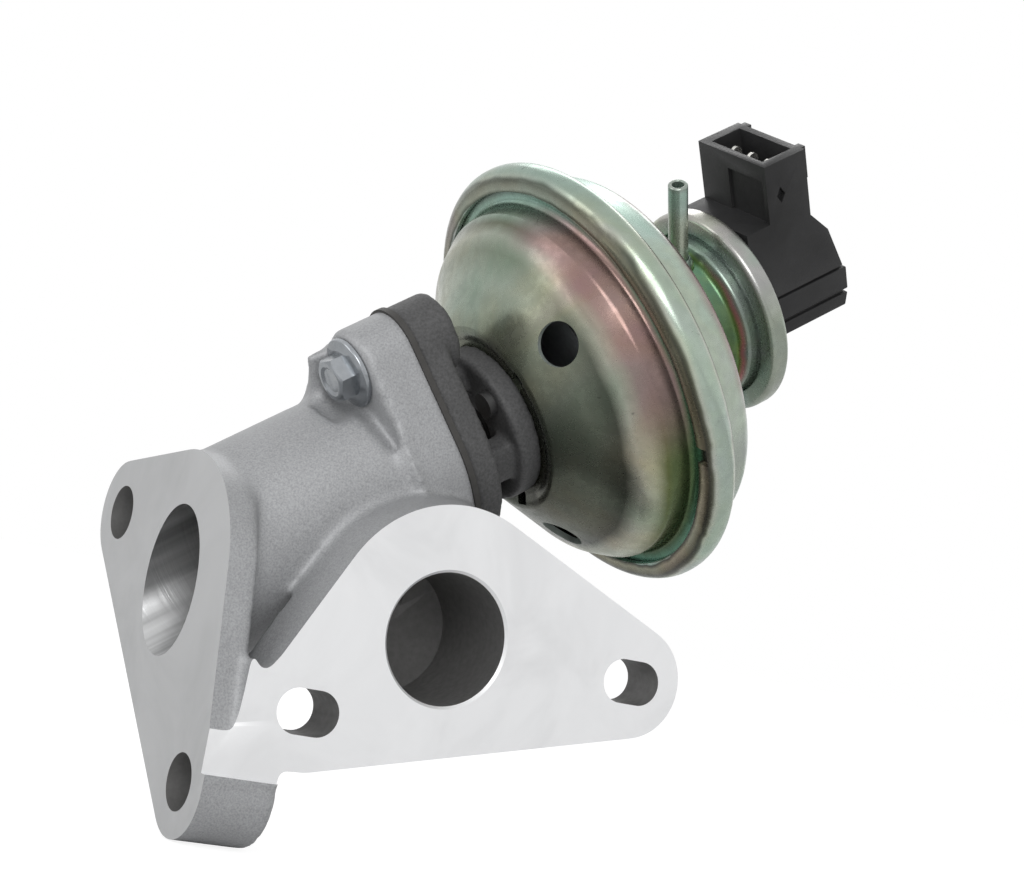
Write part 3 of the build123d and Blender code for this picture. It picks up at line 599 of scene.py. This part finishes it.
def cast_skin(bm, voxel, rounds, fillet_rounds, spread, gusset_rounds=0):
    """Skin of a casting: all edges slightly rounded, the inner corners filled with soft fillets."""
    target = solid_object(bm, "cast_target")
    modifier = target.modifiers.new("skin", "REMESH")
    modifier.mode = "VOXEL"
    modifier.voxel_size = voxel
    skin = worked(target)
    relax(skin, skin.verts[:], rounds)
    skin.normal_update()
    corners = set()
    for edge in skin.edges:
        if edge.calc_face_angle_signed(0) < -radians(9):
            corners.update(edge.verts)
    for i in range(spread):
        corners.update([edge.other_vert(vert) for vert in corners for edge in vert.link_edges])
    relax(skin, list(corners), fillet_rounds)
    if gusset_rounds:
        relax(skin, gusset_verts(skin), gusset_rounds)
    relax(skin, skin.verts[:], 1)
    return skin


def stretch_faces(bm, point, normal, reach):
    """Pull the flat faces on a plane outwards, so that a later cut leaves that plane's edges crisp."""
    point, normal = Vector(point) * MM, Vector(normal)
    flat = [
        face for face in bm.faces
        if face.normal.dot(normal) > 0.999
        and abs((face.calc_center_median() - point).dot(normal)) < 0.02 * MM
    ]
    pulled = bmesh.ops.extrude_face_region(bm, geom=flat)
    verts = [item for item in pulled["geom"] if isinstance(item, bmesh.types.BMVert)]
    bmesh.ops.translate(bm, vec=normal * reach * MM, verts=verts)
    bmesh.ops.delete(bm, geom=flat, context="FACES")


def flat_faced_copy(name):
    """Copy of a node with the triangles of each flat face joined."""
    bm = node_mesh(name)
    bmesh.ops.dissolve_limit(
        bm, angle_limit=radians(0.8), verts=bm.verts[:], edges=bm.edges[:], delimit=set()
    )
    return bm


def bevelled_copy(name, width, angle=28.0):
    """Copy of a node with its sharp edges rounded."""
    target = solid_object(flat_faced_copy(name), "bevel_target")
    modifier = target.modifiers.new("round", "BEVEL")
    modifier.width = width
    modifier.segments = 3
    modifier.limit_method = "ANGLE"
    modifier.angle_limit = radians(angle)
    return worked(target)


def color_property(name, text, default):
    """Colour that the user can change."""
    return bpy.props.FloatVectorProperty(
        name=name, description=text, default=default, size=3, subtype="COLOR", min=0.0, max=1.0
    )


# Camera in millimetres, and the point that the lamps look at in metres
CAMERA_PLACE = (-233.4, -415.5, 6.4)
CAMERA_AHEAD = (0.498, 0.865, 0.064)
CAMERA_UP = (-0.192, 0.038, 0.981)
LIGHT_TARGET = (0.02, 0.03, 0.04)


class ValveColors(bpy.types.PropertyGroup):
    cast: color_property("Casting", "Shot blasted aluminium", (0.35, 0.355, 0.364))
    milled: color_property("Milled face", "Front machined face", (0.86, 0.865, 0.875))
    faced: color_property("Left face", "Left machined face", (0.47, 0.475, 0.48))
    bore: color_property("Bore", "Wall of the left port", (0.62, 0.625, 0.63))
    drilled: color_property("Holes", "Walls of the front port and the bolt holes", (0.19, 0.188, 0.185))
    iron: color_property("Yoke", "Dark coated iron", (0.078, 0.078, 0.079))
    bolt: color_property("Bolts", "Blue zinc plate", (0.36, 0.38, 0.40))
    plastic: color_property("Plastic", "Black connector plastic", (0.019, 0.019, 0.0195))


class ValveSizes(bpy.types.PropertyGroup):
    grain: bpy.props.FloatProperty(
        name="Casting mesh", description="Mesh size of the cast housing", default=0.66 * MM, unit="LENGTH"
    )
    yoke_grain: bpy.props.FloatProperty(
        name="Yoke mesh", description="Mesh size of the cast yoke", default=0.45 * MM, unit="LENGTH"
    )
    edge: bpy.props.FloatProperty(
        name="Plastic edge", description="Rounding of the moulded edges", default=0.28 * MM, unit="LENGTH"
    )


# Zinc plate with painted light: turn of the side painted as lit, side of the rose patch, and colours by the
# distance from the stem that paint highlights, reflections and shade over the zinc's own tone
PAINTED_LIGHT_TURN = radians(-30)
ROSE_TURN = radians(62)
ROSE = (0.27, 0.17, 0.18)
# Painted highlights, reflections and shade by the distance from the stem: front shell, lit side then shaded
# side
FRONT_PAINTED_LIT_BANDS = [
    (17, (0.17, 0.19, 0.16)), (22, (0.27, 0.31, 0.26)), (28, (0.31, 0.34, 0.29)),
    (32, (0.22, 0.24, 0.19)), (34.6, (0.33, 0.34, 0.29)), (36.2, (0.11, 0.12, 0.08)),
    (37.6, (0.22, 0.30, 0.25)), (39, (0.30, 0.44, 0.39)), (40.8, (0.05, 0.06, 0.05)),
]
FRONT_PAINTED_SHADED_BANDS = [
    (17, (0.08, 0.082, 0.068)), (21, (0.12, 0.125, 0.10)), (27, (0.14, 0.145, 0.115)),
    (31, (0.075, 0.075, 0.06)), (33.4, (0.45, 0.43, 0.37)), (35.4, (0.42, 0.42, 0.32)),
    (36.9, (0.13, 0.15, 0.06)), (38.4, (0.045, 0.11, 0.05)), (39.8, (0.10, 0.26, 0.19)),
    (40.8, (0.03, 0.035, 0.03)),
]
# Painted highlights, reflections and shade by the distance from the stem: rear shell, lit side then shaded
# side
REAR_PAINTED_LIT_BANDS = [
    (14.6, (0.12, 0.30, 0.23)), (15.5, (0.22, 0.36, 0.14)), (16.1, (0.12, 0.22, 0.16)),
    (16.9, (0.26, 0.38, 0.33)), (21, (0.42, 0.46, 0.42)), (37, (0.44, 0.54, 0.50)),
    (40.3, (0.40, 0.48, 0.44)), (40.6, (0.06, 0.08, 0.055)), (41.3, (0.32, 0.34, 0.29)),
    (42.4, (0.24, 0.25, 0.21)), (43.4, (0.11, 0.12, 0.10)), (44.0, (0.36, 0.40, 0.36)),
    (44.6, (0.30, 0.37, 0.33)),
]
REAR_PAINTED_SHADED_BANDS = [
    (14.6, (0.07, 0.14, 0.10)), (15.4, (0.12, 0.20, 0.05)), (16.1, (0.42, 0.16, 0.18)),
    (16.9, (0.20, 0.26, 0.24)), (21, (0.34, 0.39, 0.37)), (37, (0.40, 0.50, 0.46)),
    (40.3, (0.38, 0.46, 0.42)), (40.6, (0.03, 0.032, 0.022)), (41.4, (0.34, 0.32, 0.25)),
    (42.6, (0.16, 0.15, 0.11)), (43.1, (0.05, 0.052, 0.042)), (43.7, (0.10, 0.11, 0.085)),
    (44.1, (0.48, 0.55, 0.50)), (44.6, (0.40, 0.52, 0.47)),
]
TINTS = [
    (0.74, 0.90, 0.82), (0.94, 1.0, 0.96), (1.0, 0.96, 0.84), (1.0, 0.88, 0.92), (0.86, 0.97, 0.87),
]


def front_shell_section():
    """Bent line of the front shell's outer side: radius, station and bend radius."""
    return [
        (5.3, PAD_END, 0), (16.6, PAD_END, 1.2), (18.9, PAD_END - 0.9, 2.0), (34.2, 49.2, 5.0),
        (37.2, RIM_FRONT + SHEET - 5, 2.0), (37.6, RIM_FRONT + SHEET, 1.4), (41.5, RIM_FRONT + SHEET, 0),
    ]


def rear_shell_section():
    """Bent line of the rear shell's outer side: radius, station and bend radius."""
    return [
        (40.3, RIM_FRONT, 0), (44.8, RIM_FRONT, 3.3), (44.8, RIM_FRONT + RIM_H, 3.3),
        (40.6, RIM_FRONT + RIM_H, 0.7), (37.6, REAR, 4.5), (15.0, REAR, 2.5), (15.0, 89.0, 1.0),
        (17.2, 90.4, 1.0), (17.2, RING_START + 1, 1.2), (20.4, RING_START + 1, 0),
    ]


class VALVE_OT_casting(bpy.types.Operator):
    """Cast housing with fillets, milled faces, bored ports and bolt holes"""

    bl_idname = "valve.casting"
    bl_label = "Cast housing"

    def holes(self, spare, front, left):
        """Cylinders of all holes, each with its finish, made larger by a spare and longer at the mouth."""
        slots = []
        for x, z in SLOTS:
            ends = [(x - SLOT_REACH, z, SLOT_R + spare), (x + SLOT_REACH, z, SLOT_R + spare)]
            slots.append(hull_prism(ends, -FLANGE_T + spare, front, FRONT))
        left_holes = [
            cylinder(LEFT_HOLE_R + spare, (LEFT_FACE - left, y, z), (back - spare, y, z))
            for y, z, back in LEFT_HOLES
        ]
        port = cylinder(PORT_R + spare, (0, -front, 0), (0, PORT_DEPTH + spare, 0))
        bore = cylinder(BORE_R + spare, stem_point(-50), stem_point(SEAT - spare))
        return [with_finish(bm, DRILLED) for bm in [*slots, *left_holes, port]] + [with_finish(bore, BORED)]

    def recess(self):
        """Shallow recess of the tube below the joint flange, which ends at the back of the front flange."""
        ring = spun_mesh([(16.7, JOINT_BASE, 0), (19.9, 5.2, 0), (34, 5.2, 0), (34, JOINT_BASE, 0)], 96)
        ring = placed(ring, Matrix.Translation((-0.7 * MM, 1.1 * MM, 0)))
        half = placed(cut(ring, [block((-8, 2, 0), (34, 34, 20))], "INTERSECT"), LOBES[0])
        return cut(half, [block((-90, FLANGE_BACK, -90), (90, 90, 90))], "INTERSECT")

    def execute(self, context):
        tones = context.scene.valve_colors
        sizes = context.scene.valve_sizes
        finishes = [
            cast_aluminium("casting_skin", tones.cast),
            machined("milled_front", tones.milled, 0.55, 0.32, 0.00002),
            machined("milled_left", tones.faced, 0.4, 0.42, 0.00003),
            bored("bored_wall", tones.bore),
            plain_metal("drilled_wall", tones.drilled, 0.5, 0.4),
        ]
        tip = [(x, y, 0.1) for x in (27.3, 31) for y in (-9, -5)]
        wall = [(x, -7.0, WALL_T / 2) for x in (18, 26)]
        tips = [hull_prism(tip, 4, JOINT_BASE, lobe) for lobe in LOBES]
        walls = [hull_prism(wall, 4.5, JOINT_BASE + 1, lobe) for lobe in LOBES]
        raw = cut(cut(node_mesh("housing"), [*tips, self.recess()]), walls, "UNION")
        reach = 3.0
        stretch_faces(raw, (0, 0, 0), (0, -1, 0), reach)
        stretch_faces(raw, (LEFT_FACE, 0, 0), (-1, 0, 0), reach)
        stretch_faces(raw, stem_point(JOINT_FACE), STEM_DIR, reach)
        plugged = joined([raw, *self.holes(0.8, reach, reach)])
        skin = cast_skin(plugged, sizes.grain, rounds=5, fillet_rounds=5, spread=1, gusset_rounds=25)
        joint = [(x, y, JOINT_LOBE_R + 0.8) for x, y in BOLT_PLACES] + [(0, 0, JOINT_HUB_R + 0.8)]
        planes = [
            with_finish(hull_prism(joint, JOINT_FACE, JOINT_FACE + 2 * reach, STEM), MILLED),
            with_finish(block((-90, -90, MILL_END), (90, 0, 90)), MILLED),
            with_finish(block((-90, -90, -90), (90, BOSS_FRONT, MILL_END)), CAST),
            with_finish(block((-90, -90, -90), (LEFT_FACE, 90, 90)), LEFT_MILLED),
        ]
        passage = with_finish(cylinder(PASSAGE_R, *PASSAGE), DRILLED)
        mouth = with_finish(cylinder(PORT_R + 0.9, (0, -0.4, 0), (0, 0.5, 0), PORT_R), MILLED)
        skin = cut(skin, [*planes, *self.holes(0, 2 * reach, 2 * reach), passage, mouth])
        piece = finish_piece(skin, "casting", "valve_body", finishes, smooth=40)
        stand_in("housing")
        return {"FINISHED"}


class VALVE_OT_yoke(bpy.types.Operator):
    """Cast yoke with rounded edges"""

    bl_idname = "valve.yoke"
    bl_label = "Yoke"

    def execute(self, context):
        tones = context.scene.valve_colors
        sizes = context.scene.valve_sizes
        skin = cast_skin(node_mesh("yoke"), sizes.yoke_grain, rounds=2, fillet_rounds=8, spread=2)
        coating = coated_iron("yoke_skin", tones.iron)
        piece = finish_piece(skin, "yoke_casting", "valve_body", [coating], smooth=50)
        stand_in("yoke")
        return {"FINISHED"}


class VALVE_OT_bolts(bpy.types.Operator):
    """Hexagon bolts with a washer face"""

    bl_idname = "valve.bolts"
    bl_label = "Flange bolts"

    def execute(self, context):
        tones = context.scene.valve_colors
        low = JOINT_BASE - HEAD_H
        corner = HEAD_FLATS / 2 / cos(pi / 6)
        meshes = []
        for x, y in BOLT_PLACES:
            corners = [(corner * sin(i * pi / 3), corner * cos(i * pi / 3), 0) for i in range(6)]
            head = hull_prism(corners, low, JOINT_BASE - 1, Matrix.Identity(4), 1)
            dome = spun_mesh([
                (0, low + 0.35, 0), (2.4, low + 0.35, 0.3), (3.0, low, 0.2), (3.8, low, 0.3),
                (5.2, low + 0.9, 0), (5.2, JOINT_BASE, 0), (0, JOINT_BASE, 0),
            ], 96)
            collar = spun_mesh([
                (0, JOINT_BASE - 1.6, 0), (4.9, JOINT_BASE - 1.6, 0.4), (COLLAR_R, JOINT_BASE - 0.95, 0.35),
                (COLLAR_R, JOINT_BASE, 0.2), (3, JOINT_BASE, 0), (3, BOLT_END, 0.4), (0, BOLT_END, 0),
            ], 96)
            bolt = cut(cut(head, [dome], "INTERSECT"), [collar], "UNION")
            meshes.append(placed(bolt, Matrix.Translation((x * MM, y * MM, 0))))
        zinc = plain_metal("bolt_zinc", tones.bolt, 0.16)
        piece = finish_piece(joined(meshes), "hexagon_bolts", "valve_body", [zinc], STEM, smooth=30)
        stand_in("flange_bolts")
        return {"FINISHED"}


class VALVE_OT_can(bpy.types.Operator):
    """Front and rear shells of the vacuum can, its nipple and the crimped ring"""

    bl_idname = "valve.can"
    bl_label = "Vacuum can"

    def execute(self, context):
        front_zinc = zinc_with_painted_light("zinc_front_shell", FRONT_PAINTED_LIT_BANDS, FRONT_PAINTED_SHADED_BANDS, TINTS)
        rear_zinc = zinc_with_painted_light("zinc_rear_shell", REAR_PAINTED_LIT_BANDS, REAR_PAINTED_SHADED_BANDS, TINTS)
        sheared = plain_metal("sheared_edge", (0.50, 0.56, 0.52), 0.3, 0.5)
        cutters = []
        for turn in VENT_TURNS:
            lean = Matrix.Translation((27.5 * MM, 0, 45.0 * MM)) @ Matrix.Rotation(radians(-35.7), 4, "Y")
            cutters.append(with_finish(placed(rounded_rod(4.4, -5, 5, 0), about_stem(turn) @ lean), 1))
            slot = block((CREST - 2, -1.5, PAD_END - 3), (CREST + 2, 1.5, PAD_END + 3))
            cutters.append(placed(slot, about_stem(turn)))
        shells = [("can_front_shell", "lower_shell", front_shell_section(), front_zinc, cutters)]
        notch = block((39.1, -1.8, RIM_FRONT - 1.8), (42.9, 1.8, RIM_FRONT + 2.2))
        notch = placed(notch, about_stem(NOTCH_TURN))
        shells.append(("can_rear_shell", "upper_shell", rear_shell_section(), rear_zinc, [notch]))
        for name, node, section, zinc, cutters in shells:
            shell = cut(spun_mesh(sheet_loop(section, SHEET)), cutters)
            piece = finish_piece(shell, name, "valve_body", [zinc, sheared], STEM)
            stand_in(node)
        tube = spun_mesh([
            (1.2, 12.6, 0), (2.0, 12.6, 0), (2.0, 34.5, 0.4), (1.2, 34.5, 0.25),
        ], 64)
        braze = spun_mesh([(2.0, 14, 0), (3.4, 14, 0), (3.0, 16.0, 0.6), (2.0, 17.6, 0.3)], 64)
        place = STEM @ about_stem(NIPPLE_TURN) @ Matrix.Translation((0, 0, NIPPLE_STATION * MM))
        place = place @ Matrix.Rotation(pi / 2, 4, "Y")
        nipple = cut(tube, [braze], "UNION")
        piece = finish_piece(nipple, "nipple_tube", "valve_body", [rear_zinc], place)
        stand_in("vacuum_nipple")
        lip = [(17.9, RING_START, 0), (21.8, RING_START, 1.2), (21.8, RING_END, 1.2), (19.6, RING_END, 0)]
        piece = finish_piece(spun_mesh(sheet_loop(lip, 1.0)), "crimped_ring", "valve_body", [rear_zinc], STEM)
        stand_in("sensor_ring")
        return {"FINISHED"}


class VALVE_OT_sensor(bpy.types.Operator):
    """Moulded sensor housing, its cover and the terminal pins"""

    bl_idname = "valve.sensor"
    bl_label = "Position sensor"

    def execute(self, context):
        tones = context.scene.valve_colors
        sizes = context.scene.valve_sizes
        plastic = moulded("sensor_plastic", tones.plastic, 0.42)
        pins = plain_metal("pin_plate", (0.80, 0.79, 0.75), 0.22)
        up = (STEM @ about_stem(SENSOR_TURN)).to_3x3() @ Vector((1, 0, 0))
        blades = flat_faced_copy("terminal_pins")
        top = max(vert.co.dot(up) for vert in blades.verts)
        tips = [
            edge for edge in blades.edges
            if edge.calc_length() < 1 * MM and min(vert.co.dot(up) for vert in edge.verts) > top - 0.3 * MM
        ]
        bmesh.ops.bevel(
            blades, geom=tips, offset=PIN_TIP * MM, offset_type="OFFSET", segments=8, profile=0.5,
            affect="EDGES", material=-1,
        )
        shell, lid = bevelled_copy("sensor_housing", sizes.edge), bevelled_copy("sensor_cover", sizes.edge)
        for node, name, mesh, finish, slot in (
            ("sensor_housing", "moulded_housing", shell, plastic, "black_plastic"),
            ("sensor_cover", "moulded_cover", lid, plastic, "black_plastic"),
            ("terminal_pins", "pin_blades", blades, pins, "tinned"),
        ):
            piece = finish_piece(mesh, name, "valve_body", [finish])
            stand_in(node)
        return {"FINISHED"}


class VALVE_OT_flexing(bpy.types.Operator):
    """Springs and diaphragm, kept as copies of their frame nodes with their own finishes"""

    bl_idname = "valve.flexing"
    bl_label = "Springs and diaphragm"

    def execute(self, context):
        wire = plain_metal("coil_wire", (0.35, 0.35, 0.36), 0.3)
        rubber = moulded("diaphragm_rubber", (0.02, 0.02, 0.02), 0.6)
        for node, name, material, slot, body, low, high in (
            ("return_spring", "valve_return_coil", wire, "spring_steel", "valve_train", 53.0, 72.2),
            ("diaphragm", "rolling_diaphragm", rubber, "rubber", "valve_train", 51.0, 59.4),
            ("sensor_spring", "sensor_coil", wire, "spring_steel", "sensor_rod", 103.4, 116.8),
        ):
            piece = finish_piece(node_mesh(node), name, None, [material])
            stand_in(node)
            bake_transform(piece)
        return {"FINISHED"}


class VALVE_OT_nodes(bpy.types.Operator):
    """Finishes of the pieces that keep their own shape"""

    bl_idname = "valve.nodes"
    bl_label = "Frame finishes"

    def execute(self, context):
        tones = context.scene.valve_colors
        finishes = {
            "cast_aluminium": cast_aluminium("casting", tones.cast),
            "valve_steel": plain_metal("valve_steel", (0.30, 0.29, 0.28), 0.35),
            "dark_iron": coated_iron("yoke_coating", tones.iron),
            "gasket_steel": plain_metal("gasket_sheet", (0.05, 0.048, 0.045), 0.5, 0.3),
            "zinc_passivated": zinc_with_painted_light("zinc_fittings", REAR_PAINTED_LIT_BANDS, REAR_PAINTED_SHADED_BANDS, TINTS),
            "zinc_bright": plain_metal("bright_zinc", tones.bolt, 0.35),
            "bronze": plain_metal("bronze", (0.30, 0.20, 0.10), 0.4),
            "rubber": moulded("rubber", (0.02, 0.02, 0.02), 0.6),
            "spring_steel": plain_metal("spring_wire", (0.35, 0.35, 0.36), 0.3),
            "black_plastic": moulded("black_plastic", tones.plastic, 0.45),
            "pale_plastic": moulded("pale_plastic", (0.70, 0.68, 0.60), 0.4),
            "ceramic": moulded("ceramic_card", (0.60, 0.58, 0.52), 0.3),
            "tinned": plain_metal("tinned_contact", (0.75, 0.74, 0.70), 0.2),
        }
        # Painted shade: the shell rivets get a near-black tone, standing in for the shade inside the yoke's
        # windows
        dull = {"shell_rivets": plain_metal("rivets_painted_dark", (0.05, 0.05, 0.05), 0.45, 0.5)}
        slots = {part["node"]: part["material_slot"] for part in frame["record"]["subparts"]}
        for name, node in frame["nodes"].items():
            node.data.materials.clear()
            node.data.materials.append(dull.get(name, finishes[slots[name]]))
        return {"FINISHED"}


def area_light(name, place, size, power):
    """Soft lamp that looks at the middle of the valve; place and size in metres, power in watts."""
    lamp = bpy.data.lights.new(name, "AREA")
    lamp.shape = "RECTANGLE"
    lamp.size, lamp.size_y = size
    lamp.energy = power
    holder = bpy.data.objects.new(name, lamp)
    holder.location = place
    aim = Vector(LIGHT_TARGET) - Vector(place)
    holder.rotation_euler = aim.to_track_quat("-Z", "Y").to_euler()
    bpy.context.scene.collection.objects.link(holder)


class VALVE_OT_stage(bpy.types.Operator):
    """Camera, floor, background and studio light"""

    bl_idname = "valve.stage"
    bl_label = "Stage"

    def execute(self, context):
        scene = bpy.context.scene
        scene.view_settings.view_transform = "Standard"
        camera = bpy.data.cameras.new("camera")
        camera.sensor_fit = "HORIZONTAL"
        camera.sensor_width = 36
        camera.lens = 91.44
        camera.clip_start = 0.01
        holder = bpy.data.objects.new("camera", camera)
        ahead = Vector(CAMERA_AHEAD).normalized()
        right = ahead.cross(Vector(CAMERA_UP)).normalized()
        turn = Matrix((right, right.cross(ahead), -ahead)).transposed().to_4x4()
        holder.matrix_world = Matrix.Translation(Vector(CAMERA_PLACE) * MM) @ turn
        scene.collection.objects.link(holder)
        scene.camera = holder
        self.floor()
        self.background(scene)
        area_light("key", (-0.5, -0.8, 0.45), (0.6, 0.6), 4.6)
        area_light("side", (-0.9, 0.1, 0.3), (0.4, 0.8), 1.6)
        area_light("top_back", (0.4, 0.6, 0.8), (0.7, 0.3), 2.2)
        return {"FINISHED"}

    def floor(self):
        """Pale floor: white to the camera where no shadow falls on it."""
        bm = bmesh.new()
        bmesh.ops.create_grid(bm, x_segments=1, y_segments=1, size=6)
        low = CAD_BOX[0][2] - 0.2 * MM
        bmesh.ops.translate(bm, vec=(0, 0, low), verts=bm.verts[:])
        plane = solid_object(bm, "floor")
        shader = Shader("floor", (0.9, 0.9, 0.9), 0.0, 0.8)
        nodes, links = shader.nodes, shader.links
        glow = nodes.new("ShaderNodeEmission")
        path = nodes.new("ShaderNodeLightPath")
        glow.inputs["Strength"].default_value = 1.25
        share = shader.math("MULTIPLY", path.outputs["Is Camera Ray"], 0.7)
        mixed = nodes.new("ShaderNodeMixShader")
        links.new(share, mixed.inputs[0])
        links.new(shader.surface.outputs[0], mixed.inputs[1])
        links.new(glow.outputs[0], mixed.inputs[2])
        links.new(mixed.outputs[0], nodes["Material Output"].inputs["Surface"])
        plane.data.materials.clear()
        plane.data.materials.append(shader.material)

    def background(self, scene):
        """White to the camera, in metal and through glass; half as bright as a light."""
        world = bpy.data.worlds.new("studio")
        scene.world = world
        world.use_nodes = True
        nodes, links = world.node_tree.nodes, world.node_tree.links
        glow = nodes["Background"]
        glow.inputs["Color"].default_value = (1, 1, 1, 1)
        path = nodes.new("ShaderNodeLightPath")
        seen = nodes.new("ShaderNodeMath")
        seen.operation = "MAXIMUM"
        links.new(path.outputs["Is Camera Ray"], seen.inputs[0])
        links.new(path.outputs["Is Glossy Ray"], seen.inputs[1])
        also = nodes.new("ShaderNodeMath")
        also.operation = "MAXIMUM"
        links.new(seen.outputs[0], also.inputs[0])
        links.new(path.outputs["Is Transmission Ray"], also.inputs[1])
        level = nodes.new("ShaderNodeMapRange")
        level.inputs["To Min"].default_value = 0.5
        level.inputs["To Max"].default_value = 1.0
        links.new(also.outputs[0], level.inputs["Value"])
        links.new(level.outputs["Result"], glow.inputs["Strength"])


class VALVE_PT_panel(bpy.types.Panel):
    bl_idname = "VALVE_PT_panel"
    bl_label = "EGR valve"
    bl_space_type = "VIEW_3D"
    bl_region_type = "UI"
    bl_category = "EGR valve"

    def draw(self, context):
        for group in (context.scene.valve_colors, context.scene.valve_sizes):
            for prop in group.bl_rna.properties[2:]:
                self.layout.prop(group, prop.identifier)
        for step in STEPS:
            self.layout.operator(step.bl_idname)


STEPS = (
    VALVE_OT_nodes, VALVE_OT_casting, VALVE_OT_yoke, VALVE_OT_bolts, VALVE_OT_can, VALVE_OT_flexing,
    VALVE_OT_sensor, VALVE_OT_stage,
)
CLASSES = (ValveColors, ValveSizes, *STEPS, VALVE_PT_panel)


def register():
    for cls in CLASSES:
        bpy.utils.register_class(cls)
    bpy.types.Scene.valve_colors = bpy.props.PointerProperty(type=ValveColors)
    bpy.types.Scene.valve_sizes = bpy.props.PointerProperty(type=ValveSizes)


def unregister():
    del bpy.types.Scene.valve_colors
    del bpy.types.Scene.valve_sizes
    for cls in reversed(CLASSES):
        bpy.utils.unregister_class(cls)


def main():
    register()
    bpy.ops.valve.nodes()
    bpy.ops.valve.casting()
    bpy.ops.valve.yoke()
    bpy.ops.valve.bolts()
    bpy.ops.valve.can()
    bpy.ops.valve.flexing()
    bpy.ops.valve.sensor()
    bpy.ops.valve.stage()


if __name__ == "__main__":
    main()
